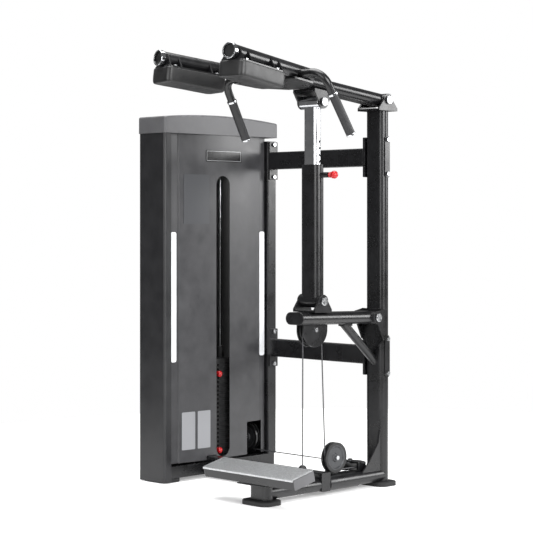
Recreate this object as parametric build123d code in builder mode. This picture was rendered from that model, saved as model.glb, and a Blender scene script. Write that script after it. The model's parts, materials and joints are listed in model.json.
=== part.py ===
"""Standing calf raise machine with a shrouded weight stack. Millimetres, +Z up.

The origin is on the floor, on the axis of the rear column. The arms reach toward -Y and the
weight tower stands at -X.
"""
from build123d import *
import math
import os

os.makedirs("parts", exist_ok=True)

# Frame tubes
OVAL_W = 101.6
OVAL_T = 50.8
OVAL_WALL = 3.0
BEAM_H = 76.2
BEAM_T = 50.8
BEAM_WALL = 3.0
FOOT_H = 18.0
FOOT_L = 150.0
FOOT_W = 110.0
FOOT_R = 38.0
COLUMN_TOP = 1571.0
BASE_Z = FOOT_H + OVAL_T / 2
FRONT_POST_Y = -687.0
FRONT_POST_TOP = 77.0
CROSS_Y = -370.5
CROSS_END_X = 50.8
UPPER_BEAM_Z = 1378.5
LOWER_BEAM_Z = 543.0

# Flanges and their bolts
FLANGE_T = 10.0
FLANGE_W = 50.0
FLANGE_H = 168.0
FLANGE_BOLT_GAP = 144.0
STRIP_T = 5.0
STRIP_W = 30.0
BOLT_D = 12.0
BOLT_HOLE = 13.0
BOLT_HEAD_D = 19.0
BOLT_HEAD_H = 8.0
PIVOT_HEAD_D = 34.0
PIVOT_HEAD_H = 9.0

# Weight tower
STACK_X = -715.0
STACK_Y = -302.0
STACK_TO_FRONT = 85.0
TOWER_DEPTH = 165.0
TOWER_FRONT = STACK_X + STACK_TO_FRONT
TOWER_BACK = TOWER_FRONT - TOWER_DEPTH
TOWER_NEAR = -640.0
TOWER_FAR = 27.0
TOWER_TOP = 1490.0
POST_SIZE = 50.8
POST_SETBACK = 22.5
POST_X = TOWER_FRONT - POST_SETBACK
POST_TOP = 1466.0
POST_CORNER = 5.0
SHEET = 2.0
COVER_CORNER = 12.0
WING_SETBACK = 16.0
WING_X = TOWER_FRONT - WING_SETBACK
CAP_CROWN = 1566.0
CAP_SHOULDER = 1552.0
CAP_LIP = 8.0
CAP_PEAK_Y = -350.0

# Linkage
UPPER_PIVOT_Z = 1616.0
LOWER_PIVOT_Y = -66.0
LOWER_PIVOT_Z = 707.0
STRUT_Y = -397.0
STRUT_TOP_Z = 1588.0
STRUT_FOOT_Z = 786.0
ARM_TILT = 6.4
PIVOT_BOLT_D = 16.0
RUN_FIT = 0.05
GAP = 0.4
HUB_D = 54.0
HUB_L = 104.0
EAR_T = 8.0
EAR_X = HUB_L / 2 + 1.0


def plane_x(x):
    """A plane across X: local x is Y, local y is Z, and it extrudes toward +X."""
    return Plane(origin=(x, 0, 0), x_dir=(0, 1, 0), z_dir=(1, 0, 0))


def plane_y(y):
    """A plane across Y: local x is X, local y is Z, and it extrudes toward -Y."""
    return Plane(origin=(0, y, 0), x_dir=(1, 0, 0), z_dir=(0, -1, 0))


def at(place, plane):
    """The plane as it stands in the frame called place."""
    return Plane(place * plane.location)


def dome_arc(start, tip):
    """A round nose about local X: from the point called start to a tip on the axis."""
    reach = tip - start[0]
    radius = (start[1] ** 2 + reach**2) / (2 * reach)
    half_angle = math.atan2(start[1], radius - reach) / 2
    middle = (tip - radius + radius * math.cos(half_angle), radius * math.sin(half_angle))
    ThreePointArc(start, middle, (tip, 0))


def oval_ring(width, depth, wall):
    """The hollow flat-oval section that most of the frame is made of."""
    SlotOverall(width, depth)
    SlotOverall(width - 2 * wall, depth - 2 * wall, mode=Mode.SUBTRACT)


def box_ring(width, height, wall, corner):
    """A hollow rectangular tube section with rounded corners."""
    RectangleRounded(width, height, corner)
    RectangleRounded(width - 2 * wall, height - 2 * wall, corner - wall, mode=Mode.SUBTRACT)


# ---------------------------------------------------------------- frame: base and column
flange_bolt_zs = [
    z + side * FLANGE_BOLT_GAP / 2 for z in (UPPER_BEAM_Z, LOWER_BEAM_Z) for side in (-1, 1)
]

with BuildPart() as rear_column:
    with BuildSketch(Plane.XY.offset(FOOT_H)):
        oval_ring(OVAL_W, OVAL_T, OVAL_WALL)
    extrude(amount=COLUMN_TOP - FOOT_H)
    with BuildSketch(plane_x(-OVAL_W / 2)):
        with Locations(*[(0, z) for z in flange_bolt_zs]):
            Circle(BOLT_HOLE / 2)
    extrude(amount=OVAL_W, mode=Mode.SUBTRACT)
rear_column.part.label = "rear_column"
export_step(rear_column.part, "parts/rear_column.step")

cross_front = CROSS_Y - BEAM_T / 2
cross_rear = CROSS_Y + BEAM_T / 2

with BuildPart() as front_base_beam:
    with BuildSketch(plane_y(cross_front)):
        with Locations((0, BASE_Z)):
            oval_ring(OVAL_W, OVAL_T, OVAL_WALL)
    extrude(amount=cross_front - FRONT_POST_Y)
    with BuildSketch(Plane.XY):
        with Locations((0, FRONT_POST_Y)):
            SlotOverall(OVAL_W, OVAL_T)
    extrude(amount=2 * BASE_Z, mode=Mode.SUBTRACT)

with BuildPart() as rear_base_beam:
    with BuildSketch(plane_y(0)):
        with Locations((0, BASE_Z)):
            oval_ring(OVAL_W, OVAL_T, OVAL_WALL)
    extrude(amount=-cross_rear)
    with BuildSketch(Plane.XY):
        SlotOverall(OVAL_W, OVAL_T)
    extrude(amount=2 * BASE_Z, mode=Mode.SUBTRACT)

with BuildPart() as front_post:
    with BuildSketch(Plane.XY.offset(FOOT_H)):
        with Locations((0, FRONT_POST_Y)):
            oval_ring(OVAL_W, OVAL_T, OVAL_WALL)
    extrude(amount=FRONT_POST_TOP - FOOT_H)

# The coupling sleeve wraps the rear beam and is bolted on each side.
SLEEVE_T = 4.0
SLEEVE_FRONT = cross_rear + 2.0
SLEEVE_REAR = -165.0
with BuildPart() as base_sleeve:
    with BuildSketch(plane_y(SLEEVE_REAR)):
        with Locations((0, BASE_Z)):
            SlotOverall(OVAL_W + 2 * SLEEVE_T, OVAL_T + 2 * SLEEVE_T)
            SlotOverall(OVAL_W, OVAL_T, mode=Mode.SUBTRACT)
    extrude(amount=SLEEVE_REAR - SLEEVE_FRONT)
    chamfer(base_sleeve.edges().filter_by(GeomType.CIRCLE), length=1.0)

GUSSET_T = 8.0
GUSSET_X = 30.0
with BuildPart() as base_gusset:
    with BuildSketch(plane_x(GUSSET_X)):
        with BuildLine():
            Polyline(
                (0, 236.0),
                (-OVAL_T / 2 - 2.0, 236.0),
                (-OVAL_T / 2 - 11.0, 181.0),
                (-88.0, 113.0),
                (-110.0, 91.0),
                (-133.0, BASE_Z + OVAL_T / 2),
                (-133.0, BASE_Z),
                (0, BASE_Z),
                close=True,
            )
        make_face()
    extrude(amount=GUSSET_T)
    with BuildSketch(Plane.XY):
        SlotOverall(OVAL_W, OVAL_T)
    extrude(amount=COLUMN_TOP, mode=Mode.SUBTRACT)
    with BuildSketch(plane_y(0)):
        with Locations((0, BASE_Z)):
            SlotOverall(OVAL_W, OVAL_T)
    extrude(amount=-cross_front, mode=Mode.SUBTRACT)


def flanged_beam(z):
    """One rectangular cross beam along X with a bolted flange at each end."""
    post_face = POST_X + POST_SIZE / 2
    column_face = -OVAL_W / 2
    with BuildPart(mode=Mode.PRIVATE) as beam:
        for start in (post_face, column_face - FLANGE_T):
            with BuildSketch(plane_x(start)):
                with Locations((0, z)):
                    RectangleRounded(FLANGE_W, FLANGE_H, 4.0)
                    with Locations((0, -FLANGE_BOLT_GAP / 2), (0, FLANGE_BOLT_GAP / 2)):
                        Circle(BOLT_HOLE / 2, mode=Mode.SUBTRACT)
            extrude(amount=FLANGE_T)
        with BuildSketch(plane_x(post_face + FLANGE_T)):
            with Locations((0, z)):
                box_ring(BEAM_T, BEAM_H, BEAM_WALL, 6.0)
        extrude(amount=column_face - post_face - 2 * FLANGE_T)
    return beam.part


upper_cross_beam = flanged_beam(UPPER_BEAM_Z)

lower_cross_beam = flanged_beam(LOWER_BEAM_Z)

FLOOR_BEAM_Z = FOOT_H + BEAM_H / 2
base_front = TOWER_FRONT - SHEET
floor_beam_start = base_front
with BuildPart() as floor_cross_beam:
    with BuildSketch(plane_x(floor_beam_start)):
        with Locations((CROSS_Y, FLOOR_BEAM_Z)):
            box_ring(BEAM_T, BEAM_H, BEAM_WALL, 6.0)
    extrude(amount=CROSS_END_X - floor_beam_start - SHEET)
    with BuildSketch(plane_x(CROSS_END_X - SHEET)):
        with Locations((CROSS_Y, FLOOR_BEAM_Z)):
            RectangleRounded(BEAM_T, BEAM_H, 6.0)
    extrude(amount=SHEET)

with BuildPart() as backing_strips:
    for z in (UPPER_BEAM_Z, LOWER_BEAM_Z):
        with BuildSketch(plane_x(OVAL_W / 2)):
            with Locations((0, z)):
                SlotOverall(FLANGE_H + 8.0, STRIP_W, rotation=90)
                with Locations((0, -FLANGE_BOLT_GAP / 2), (0, FLANGE_BOLT_GAP / 2)):
                    Circle(BOLT_HOLE / 2, mode=Mode.SUBTRACT)
        extrude(amount=STRIP_T)


def bolt_on_x(x, y, z, shank, direction):
    """A hexagon bolt along X: its head stands on the face at x, its shank goes into the part."""
    head = Plane(origin=(x, y, z), x_dir=(0, 0, 1), z_dir=(direction, 0, 0))
    with BuildPart(mode=Mode.PRIVATE) as bolt:
        with BuildSketch(head):
            RegularPolygon(BOLT_HEAD_D / 2, 6)
        extrude(amount=BOLT_HEAD_H)
        with BuildSketch(head):
            Circle(BOLT_D / 2)
        extrude(amount=-shank)
    return bolt.part


column_bolt_length = OVAL_W + STRIP_T + FLANGE_T + 14.0
frame_bolt_list = [
    bolt_on_x(OVAL_W / 2 + STRIP_T, 0, z, column_bolt_length, 1) for z in flange_bolt_zs
]
frame_bolt_list += [
    bolt_on_x(POST_X + POST_SIZE / 2 + FLANGE_T, 0, z, POST_SIZE + FLANGE_T, 1)
    for z in flange_bolt_zs
]
frame_bolts = Compound(label="frame_bolts", children=frame_bolt_list)
export_step(frame_bolts, "parts/frame_bolts.step")

foot_places = ((0, FRONT_POST_Y), (0, 0), (-712.0, -581.0), (-712.0, -33.0))
with BuildPart() as rubber_feet:
    with BuildSketch():
        with Locations(*foot_places):
            RectangleRounded(FOOT_L, FOOT_W, FOOT_R)
    extrude(amount=FOOT_H)
    chamfer(rubber_feet.faces().sort_by(Axis.Z)[-4:].edges(), length=3.0)
rubber_feet.part.label = "rubber_feet"
export_step(rubber_feet.part, "parts/rubber_feet.step")

# ---------------------------------------------------------------- pivots, ears and hubs
EAR_R = 27.0
EAR_OUTER = EAR_X + EAR_T


def pivot_ear(place, x, foot_z, foot_half):
    """One ear plate at local x: round about the local origin, widening to a foot at foot_z."""
    side = math.copysign(EAR_R, foot_z)
    with BuildPart(mode=Mode.PRIVATE) as ear:
        with BuildSketch(at(place, plane_x(x))):
            Circle(EAR_R)
            with BuildLine():
                Polyline(
                    (-foot_half, foot_z),
                    (foot_half, foot_z),
                    (foot_half, foot_z - side * 0.45),
                    (EAR_R, 0),
                    (-EAR_R, 0),
                    (-foot_half, foot_z - side * 0.45),
                    close=True,
                )
            make_face()
            Circle(PIVOT_BOLT_D / 2 + RUN_FIT, mode=Mode.SUBTRACT)
        extrude(amount=EAR_T)
    return ear.part


def ear_bracket(place, foot_z, foot_half, plate_t):
    """Two ears and the plate that joins them; the plate's far face lies at foot_z."""
    plate_z = foot_z - math.copysign(plate_t / 2, foot_z)
    with BuildPart(mode=Mode.PRIVATE) as bracket:
        for x in (-EAR_OUTER, EAR_X):
            add(pivot_ear(place, x, foot_z, foot_half))
        with BuildSketch(at(place, plane_x(-EAR_OUTER))):
            with Locations((0, plate_z)):
                Rectangle(2 * foot_half, plate_t)
        extrude(amount=2 * EAR_OUTER)
    return bracket.part


def pivot_bolt(place):
    """A shouldered pivot bolt along local X with a domed head on each side."""
    with BuildPart(mode=Mode.PRIVATE) as bolt:
        with BuildSketch(at(place, plane_x(-EAR_OUTER - GAP))):
            Circle(PIVOT_BOLT_D / 2)
        extrude(amount=2 * (EAR_OUTER + GAP))
        for side in (-1, 1):
            face = Plane(origin=(side * (EAR_OUTER + GAP), 0, 0), x_dir=(0, 1, 0), z_dir=(side, 0, 0))
            with BuildSketch(at(place, face)):
                Circle(PIVOT_HEAD_D / 2)
            extrude(amount=PIVOT_HEAD_H)
        chamfer(bolt.edges().filter_by(GeomType.CIRCLE).group_by(SortBy.LENGTH)[-1], length=1.5)
    return bolt.part


def hub(place, bore):
    """The plain cross tube that turns on a pivot bolt."""
    with BuildPart(mode=Mode.PRIVATE) as tube:
        with BuildSketch(at(place, plane_x(-HUB_L / 2))):
            Circle(HUB_D / 2)
            Circle(bore / 2, mode=Mode.SUBTRACT)
        extrude(amount=HUB_L)
    return tube.part


PIVOT_BORE = PIVOT_BOLT_D + 2 * RUN_FIT
PIVOT_PLAY = 1.0
OPEN_BORE = PIVOT_BOLT_D + 2 * PIVOT_PLAY

upper_pivot = Location((0, 0, UPPER_PIVOT_Z))
column_head = ear_bracket(upper_pivot, COLUMN_TOP - UPPER_PIVOT_Z, 57.0, 8.0)

upper_pivot_bolt = pivot_bolt(upper_pivot)
upper_pivot_bolt.label = "upper_pivot_bolt"
export_step(upper_pivot_bolt, "parts/upper_pivot_bolt.step")

# The lower arm's bracket is a channel on the column's front face with a pointed foot.
CHANNEL_T = 6.0
PLATE_MARGIN = 8.0
PLATE_SHOULDER = 92.0
PLATE_POINT = 146.0
channel_face = -OVAL_T / 2 - CHANNEL_T
with BuildPart() as swing_bracket:
    for x in (-EAR_OUTER, EAR_X):
        with BuildSketch(plane_x(x)):
            with Locations((LOWER_PIVOT_Y, LOWER_PIVOT_Z)):
                Circle(EAR_R)
            with BuildLine():
                Polyline(
                    (LOWER_PIVOT_Y, LOWER_PIVOT_Z + EAR_R),
                    (-OVAL_T / 2, LOWER_PIVOT_Z + EAR_R + PLATE_MARGIN),
                    (-OVAL_T / 2, LOWER_PIVOT_Z - PLATE_SHOULDER),
                    (channel_face - 4.0, LOWER_PIVOT_Z - PLATE_SHOULDER),
                    (LOWER_PIVOT_Y, LOWER_PIVOT_Z - EAR_R),
                    close=True,
                )
            make_face()
            with Locations((LOWER_PIVOT_Y, LOWER_PIVOT_Z)):
                Circle(PIVOT_BOLT_D / 2 + RUN_FIT, mode=Mode.SUBTRACT)
        extrude(amount=EAR_T)
    with BuildSketch(plane_y(-OVAL_T / 2)):
        with BuildLine():
            Polyline(
                (-EAR_OUTER, LOWER_PIVOT_Z + EAR_R + PLATE_MARGIN),
                (EAR_OUTER, LOWER_PIVOT_Z + EAR_R + PLATE_MARGIN),
                (EAR_OUTER, LOWER_PIVOT_Z - PLATE_SHOULDER),
                (0, LOWER_PIVOT_Z - PLATE_POINT),
                (-EAR_OUTER, LOWER_PIVOT_Z - PLATE_SHOULDER),
                close=True,
            )
        make_face()
    extrude(amount=CHANNEL_T)

# ---------------------------------------------------------------- lower arm
LOWER_ARM_TILT = 1.5
LOWER_ARM_L = 431.0
CAP_T = 5.0
lower_place = Location((0, LOWER_PIVOT_Y, LOWER_PIVOT_Z), (-LOWER_ARM_TILT, 0, 0))

lower_pivot_bolt = pivot_bolt(lower_place)

# Every pulley is the same wheel.
PULLEY_D = 124.0
GROOVE_D = 107.0
PULLEY_W = 28.0
PULLEY_CLEAR = 4.0
CABLE_D = 5.0
CABLE_CLEAR = 0.3
AXLE_D = 12.0
CHEEK_T = 4.0
CHEEK_GAP = 1.5
CHEEK_W = 140.0
HANGER_DROP = 46.0


def local_offset(place, y, z):
    """The local (y, z) of a world point in the plane X = 0."""
    point = place.inverse() * Location((0, y, z))
    return point.position.Y, point.position.Z


strut_foot_y, strut_foot_z = local_offset(lower_place, STRUT_Y, STRUT_FOOT_Z)

# The beam's underside is slotted, so that the pulley can sit partly inside it.
with BuildPart() as lower_arm_beam:
    with BuildSketch(at(lower_place, plane_y(0))):
        oval_ring(OVAL_W, OVAL_T, OVAL_WALL)
    extrude(amount=LOWER_ARM_L)
    with BuildSketch(at(lower_place, plane_x(-OVAL_W))):
        Circle(HUB_D / 2)
        with Locations((HUB_D, 0)):
            Rectangle(2 * HUB_D, 2 * OVAL_T)
    extrude(amount=2 * OVAL_W, mode=Mode.SUBTRACT)
    add(hub(lower_place, PIVOT_BORE))
    with BuildSketch(at(lower_place, plane_y(-LOWER_ARM_L))):
        SlotOverall(OVAL_W, OVAL_T)
    extrude(amount=CAP_T)
    fillet(lower_arm_beam.faces().sort_by(Axis.Y)[0].edges(), radius=3.0)
    with BuildSketch(at(lower_place, Plane.XY.offset(-OVAL_T))):
        with Locations((0, strut_foot_y)):
            Rectangle(PULLEY_W + 2 * CHEEK_GAP, PULLEY_D + 2 * PULLEY_CLEAR)
    extrude(amount=OVAL_T, mode=Mode.SUBTRACT)
lower_arm_beam.part.label = "lower_arm_beam"
export_step(lower_arm_beam.part, "parts/lower_arm_beam.step")

lower_clevis_place = lower_place * Location((0, strut_foot_y, strut_foot_z))
lower_clevis = ear_bracket(lower_clevis_place, OVAL_T / 2 - strut_foot_z, 50.0, 6.0)

# Pulley hanger: two cheeks with round ends under the beam.
SPACER_W = 6.0
hanger_place = lower_place * Location((0, strut_foot_y, -HANGER_DROP))
cheek_x = PULLEY_W / 2 + CHEEK_GAP
with BuildPart() as pulley_hanger:
    for x in (-cheek_x - CHEEK_T, cheek_x):
        with BuildSketch(at(hanger_place, plane_x(x))):
            with Locations((0, (HANGER_DROP - OVAL_T / 2) / 2)):
                Rectangle(CHEEK_W, HANGER_DROP - OVAL_T / 2)
            with Locations((0, 0)):
                Circle(CHEEK_W / 2)
                with Locations((0, CHEEK_W / 2 + HANGER_DROP - OVAL_T / 2)):
                    Rectangle(2 * CHEEK_W, CHEEK_W, mode=Mode.SUBTRACT)
                Circle(AXLE_D / 2, mode=Mode.SUBTRACT)
        extrude(amount=CHEEK_T)
    with BuildSketch(at(hanger_place, plane_x(-cheek_x))):
        with Locations((CHEEK_W / 2 - SPACER_W / 2, HANGER_DROP - OVAL_T / 2 - SPACER_W / 2)):
            Rectangle(SPACER_W, SPACER_W)
    extrude(amount=2 * cheek_x)


def pulley(place):
    """A grooved pulley about local X with a dished face, a hub and a bore."""
    half = PULLEY_W / 2
    rim = PULLEY_D / 2
    groove = GROOVE_D / 2
    bore = AXLE_D / 2 + RUN_FIT
    with BuildPart(mode=Mode.PRIVATE) as wheel:
        with BuildSketch(at(place, Plane.XY)):
            with BuildLine():
                Polyline(
                    (-half, bore),
                    (-half, 16.0),
                    (-half + 4.0, 19.0),
                    (-half + 4.0, groove - 12.0),
                    (-half, groove - 8.0),
                    (-half, rim),
                    (-5.0, rim),
                    (-3.0, groove - CABLE_D / 2 - CABLE_CLEAR),
                    (3.0, groove - CABLE_D / 2 - CABLE_CLEAR),
                    (5.0, rim),
                    (half, rim),
                    (half, groove - 8.0),
                    (half - 4.0, groove - 12.0),
                    (half - 4.0, 19.0),
                    (half, 16.0),
                    (half, bore),
                    close=True,
                )
            make_face()
        revolve(axis=Axis((0, 0, 0), (1, 0, 0)).located(place))
    return wheel.part


def axle(place, left, right):
    """A plain axle along local X with a hexagon head at each end."""
    with BuildPart(mode=Mode.PRIVATE) as rod:
        with BuildSketch(at(place, plane_x(left))):
            Circle(AXLE_D / 2)
        extrude(amount=right - left)
        for x, side in ((left, -1), (right, 1)):
            face = Plane(origin=(x, 0, 0), x_dir=(0, 1, 0), z_dir=(side, 0, 0))
            with BuildSketch(at(place, face)):
                RegularPolygon(BOLT_HEAD_D / 2, 6)
            extrude(amount=BOLT_HEAD_H)
    return rod.part


moving_pulley = pulley(hanger_place)
moving_pulley.label = "moving_pulley"
export_step(moving_pulley, "parts/moving_pulley.step")

moving_axle = axle(hanger_place, -cheek_x - CHEEK_T, cheek_x + CHEEK_T)

# The rest carries the lower arm when nobody lifts it.
REST_D = 35.0
REST_TOP_Y = -200.0
REST_FOOT_Z = 528.0
REST_PAD_T = 8.0
rest_top_z = LOWER_PIVOT_Z + (LOWER_PIVOT_Y - REST_TOP_Y) * math.tan(math.radians(LOWER_ARM_TILT))
rest_top_z -= OVAL_T / 2 + REST_PAD_T + 1.0
rest_run = math.hypot(REST_TOP_Y, rest_top_z - REST_FOOT_Z)
rest_plane = Plane(
    origin=(0, 0, REST_FOOT_Z - 24.0), x_dir=(1, 0, 0), z_dir=(0, REST_TOP_Y, rest_top_z - REST_FOOT_Z + 24.0)
)
with BuildPart() as arm_rest:
    with BuildSketch(rest_plane):
        Circle(REST_D / 2)
    extrude(amount=rest_run + REST_D)
    with Locations((0, 0, REST_FOOT_Z)):
        Box(OVAL_W, OVAL_T, 4 * REST_D, mode=Mode.SUBTRACT)
    with Locations((0, REST_TOP_Y, rest_top_z + 2 * REST_D)):
        Box(4 * REST_D, 6 * REST_D, 4 * REST_D, mode=Mode.SUBTRACT)
arm_rest.part.label = "arm_rest"
export_step(arm_rest.part, "parts/arm_rest.step")

with BuildPart() as rest_buffer:
    with BuildSketch(Plane.XY.offset(rest_top_z)):
        with Locations((0, REST_TOP_Y)):
            RectangleRounded(40.0, 52.0, 8.0)
    extrude(amount=REST_PAD_T)

# ---------------------------------------------------------------- telescopic strut
INNER_W = 76.2
INNER_T = 38.1
INNER_WALL = 2.5
STRUT_OUTER_TOP = 1337.0
INNER_BOTTOM = 1010.0
PIN_Z = 1294.0
HOLE_PITCH = 27.0
HOLES_ABOVE = 5
HOLES_BELOW = 4
PIN_D = 10.0
PIN_HOLE = 11.0
SLEEVE_GAP = 0.3
GUIDE_H = 70.0
BARREL_D = 22.0
BARREL_L = 38.0
PIN_BITE = 4.0
KNOB_GAP = 6.0
KNOB_NECK_D = 16.0
KNOB_NECK_L = 10.0
KNOB_L = 40.0

strut_foot = Location((0, STRUT_Y, STRUT_FOOT_Z))
strut_top = Location((0, STRUT_Y, STRUT_TOP_Z))
pin_place = Location((0, STRUT_Y, PIN_Z))

strut_foot_bolt = pivot_bolt(strut_foot)
strut_foot_bolt.label = "strut_foot_bolt"
export_step(strut_foot_bolt, "parts/strut_foot_bolt.step")

with BuildPart() as strut_outer_tube:
    with BuildSketch(Plane.XY.offset(STRUT_FOOT_Z + HUB_D / 4)):
        with Locations((0, STRUT_Y)):
            oval_ring(OVAL_W, OVAL_T, OVAL_WALL)
    extrude(amount=STRUT_OUTER_TOP - STRUT_FOOT_Z - HUB_D / 4)
    with BuildSketch(at(strut_foot, plane_x(-OVAL_W))):
        Circle(HUB_D / 2)
    extrude(amount=2 * OVAL_W, mode=Mode.SUBTRACT)
    add(hub(strut_foot, PIVOT_BORE))
    with BuildSketch(at(pin_place, plane_x(OVAL_W / 2 - OVAL_WALL))):
        Circle(BARREL_D / 2)
    extrude(amount=BARREL_L + OVAL_WALL)
    with BuildSketch(Plane.XY.offset(PIN_Z - BARREL_D)):
        with Locations((0, STRUT_Y)):
            SlotOverall(OVAL_W - 2 * OVAL_WALL, OVAL_T - 2 * OVAL_WALL)
    extrude(amount=2 * BARREL_D, mode=Mode.SUBTRACT)
    with BuildSketch(at(pin_place, plane_x(0))):
        Circle(PIN_D / 2 + RUN_FIT)
    extrude(amount=OVAL_W, mode=Mode.SUBTRACT)
strut_outer_tube.part.label = "strut_outer_tube"
export_step(strut_outer_tube.part, "parts/strut_outer_tube.step")

with BuildPart() as strut_guide:
    with BuildSketch(Plane.XY.offset(STRUT_OUTER_TOP - GUIDE_H)):
        with Locations((0, STRUT_Y)):
            SlotOverall(OVAL_W - 2 * OVAL_WALL, OVAL_T - 2 * OVAL_WALL)
            SlotOverall(INNER_W + 2 * SLEEVE_GAP, INNER_T + 2 * SLEEVE_GAP, mode=Mode.SUBTRACT)
    extrude(amount=GUIDE_H)
    with BuildSketch(plane_x(0)):
        with Locations((STRUT_Y, PIN_Z)):
            Circle(PIN_HOLE / 2)
    extrude(amount=OVAL_W, mode=Mode.SUBTRACT)
strut_guide.part.label = "strut_guide"
export_step(strut_guide.part, "parts/strut_guide.step")

# The open pivot: this hub runs loose on its bolt, so the linkage can be a tree of joints.
with BuildPart() as strut_inner_tube:
    with BuildSketch(Plane.XY.offset(INNER_BOTTOM)):
        with Locations((0, STRUT_Y)):
            oval_ring(INNER_W, INNER_T, INNER_WALL)
    extrude(amount=STRUT_TOP_Z - INNER_BOTTOM)
    with BuildSketch(at(strut_top, plane_x(-OVAL_W))):
        Circle(HUB_D / 2)
    extrude(amount=2 * OVAL_W, mode=Mode.SUBTRACT)
    add(hub(strut_top, OPEN_BORE))
    with BuildSketch(plane_x(0)):
        with Locations((STRUT_Y, PIN_Z)):
            with Locations(*[(0, step * HOLE_PITCH) for step in range(-HOLES_BELOW, HOLES_ABOVE + 1)]):
                Circle(PIN_HOLE / 2)
    extrude(amount=OVAL_W, mode=Mode.SUBTRACT)
strut_inner_tube.part.label = "strut_inner_tube"
export_step(strut_inner_tube.part, "parts/strut_inner_tube.step")

# The pin rests in a hole of the inner tube, which sets the strut's length.
pin_tip = INNER_W / 2 - PIN_BITE
knob_start = OVAL_W / 2 + BARREL_L + KNOB_GAP
with BuildPart() as height_pin:
    with BuildSketch(at(pin_place, Plane.XY)):
        with BuildLine():
            Polyline((knob_start, 0), (pin_tip, 0), (pin_tip, PIN_D / 2 - 1.5))
            Polyline(
                (pin_tip, PIN_D / 2 - 1.5),
                (pin_tip + 1.5, PIN_D / 2),
                (knob_start, PIN_D / 2),
                (knob_start, BARREL_D / 2),
                (knob_start + 3.0, BARREL_D / 2 + 1.0),
                (knob_start + KNOB_NECK_L, KNOB_NECK_D / 2),
            )
            dome_arc((knob_start + KNOB_NECK_L, KNOB_NECK_D / 2), knob_start + KNOB_L)
            Line((knob_start + KNOB_L, 0), (knob_start, 0))
        make_face()
    revolve(axis=Axis((0, STRUT_Y, PIN_Z), (1, 0, 0)))
height_pin.part.label = "height_pin"
export_step(height_pin.part, "parts/height_pin.step")

# ---------------------------------------------------------------- upper arm
PAD_TUBE_D = 57.0
PAD_TUBE_WALL = 3.0
PAD_TUBE_L = 520.0
PAD_TUBE_X = 198.0
PAD_TUBE_END = 1058.0
PAD_SPLAY = 8.6
ARM_END = 660.0
BAR_D = 32.0
BAR_Y = -633.0
BAR_Z = -6.0
BAR_BEND = 60.0
BAR_WALL = 2.5
YOKE_T = 8.0

upper_place = Location((0, 0, UPPER_PIVOT_Z), (-ARM_TILT, 0, 0))
pad_tube_z = PAD_TUBE_D / 2 - OVAL_T / 2

with BuildPart() as bar_hole:
    with BuildSketch(at(upper_place, plane_x(-OVAL_W * 3))):
        with Locations((BAR_Y, BAR_Z)):
            Circle(BAR_D / 2)
    extrude(amount=6 * OVAL_W)

with BuildPart() as upper_arm_beam:
    with BuildSketch(at(upper_place, plane_y(0))):
        oval_ring(OVAL_W, OVAL_T, OVAL_WALL)
    extrude(amount=ARM_END)
    with BuildSketch(at(upper_place, plane_x(-OVAL_W))):
        Circle(HUB_D / 2)
        with Locations((HUB_D, 0)):
            Rectangle(2 * HUB_D, 2 * OVAL_T)
    extrude(amount=2 * OVAL_W, mode=Mode.SUBTRACT)
    add(hub(upper_place, PIVOT_BORE))
    with BuildSketch(at(upper_place, plane_y(-ARM_END))):
        SlotOverall(OVAL_W, OVAL_T)
    extrude(amount=CAP_T)
    add(bar_hole.part, mode=Mode.SUBTRACT)
upper_arm_beam.part.label = "upper_arm_beam"
export_step(upper_arm_beam.part, "parts/upper_arm_beam.step")

clevis_y, clevis_z = local_offset(upper_place, STRUT_Y, STRUT_TOP_Z)
upper_clevis_place = upper_place * Location((0, clevis_y, clevis_z))
upper_clevis = ear_bracket(upper_clevis_place, -clevis_z - OVAL_T / 2, 55.0, 8.0)

strut_top_bolt = pivot_bolt(upper_clevis_place)
strut_top_bolt.label = "strut_top_bolt"
export_step(strut_top_bolt, "parts/strut_top_bolt.step")

with BuildPart() as yoke_plate:
    with BuildSketch(at(upper_place, Plane.XY.offset(-OVAL_T / 2 - YOKE_T))):
        with BuildLine():
            Polyline(
                (-OVAL_W / 2, BAR_Y + 150.0),
                (OVAL_W / 2, BAR_Y + 150.0),
                (160.0, BAR_Y + 75.0),
                (175.0, BAR_Y - 45.0),
                (-175.0, BAR_Y - 45.0),
                (-160.0, BAR_Y + 75.0),
                close=True,
            )
        make_face()
        fillet(vertices(), radius=12.0)
    extrude(amount=YOKE_T)

# One bent bar carries both hand grips.
GRIP_END = (292.0, -470.0, -221.0)
BAR_CORNER_X = 274.0
with BuildPart() as grip_bar:
    with BuildLine() as grip_bar_path:
        FilletPolyline(
            (-GRIP_END[0], GRIP_END[1], GRIP_END[2]),
            (-BAR_CORNER_X, BAR_Y, BAR_Z),
            (BAR_CORNER_X, BAR_Y, BAR_Z),
            GRIP_END,
            radius=BAR_BEND,
        )
    with BuildSketch(grip_bar_path.line ^ 0):
        Circle(BAR_D / 2)
        Circle(BAR_D / 2 - BAR_WALL, mode=Mode.SUBTRACT)
    sweep()
grip_bar_part = upper_place * grip_bar.part
grip_bar_part.label = "grip_bar"
export_step(grip_bar_part, "parts/grip_bar.step")


def grip_place(side, distance):
    """The frame on the bar's axis, this far up from a grip's end, with local z up the bar."""
    end = Vector(side * GRIP_END[0], GRIP_END[1], GRIP_END[2])
    corner = Vector(side * BAR_CORNER_X, BAR_Y, BAR_Z)
    up = (corner - end).normalized()
    plane = Plane(origin=end + up * distance, z_dir=up)
    return at(upper_place, plane)


GRIP_D = 36.0
GRIP_L = 168.0
COLLAR_D = 40.0
COLLAR_L = 9.0
GRIP_CAP_L = 8.0


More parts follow.
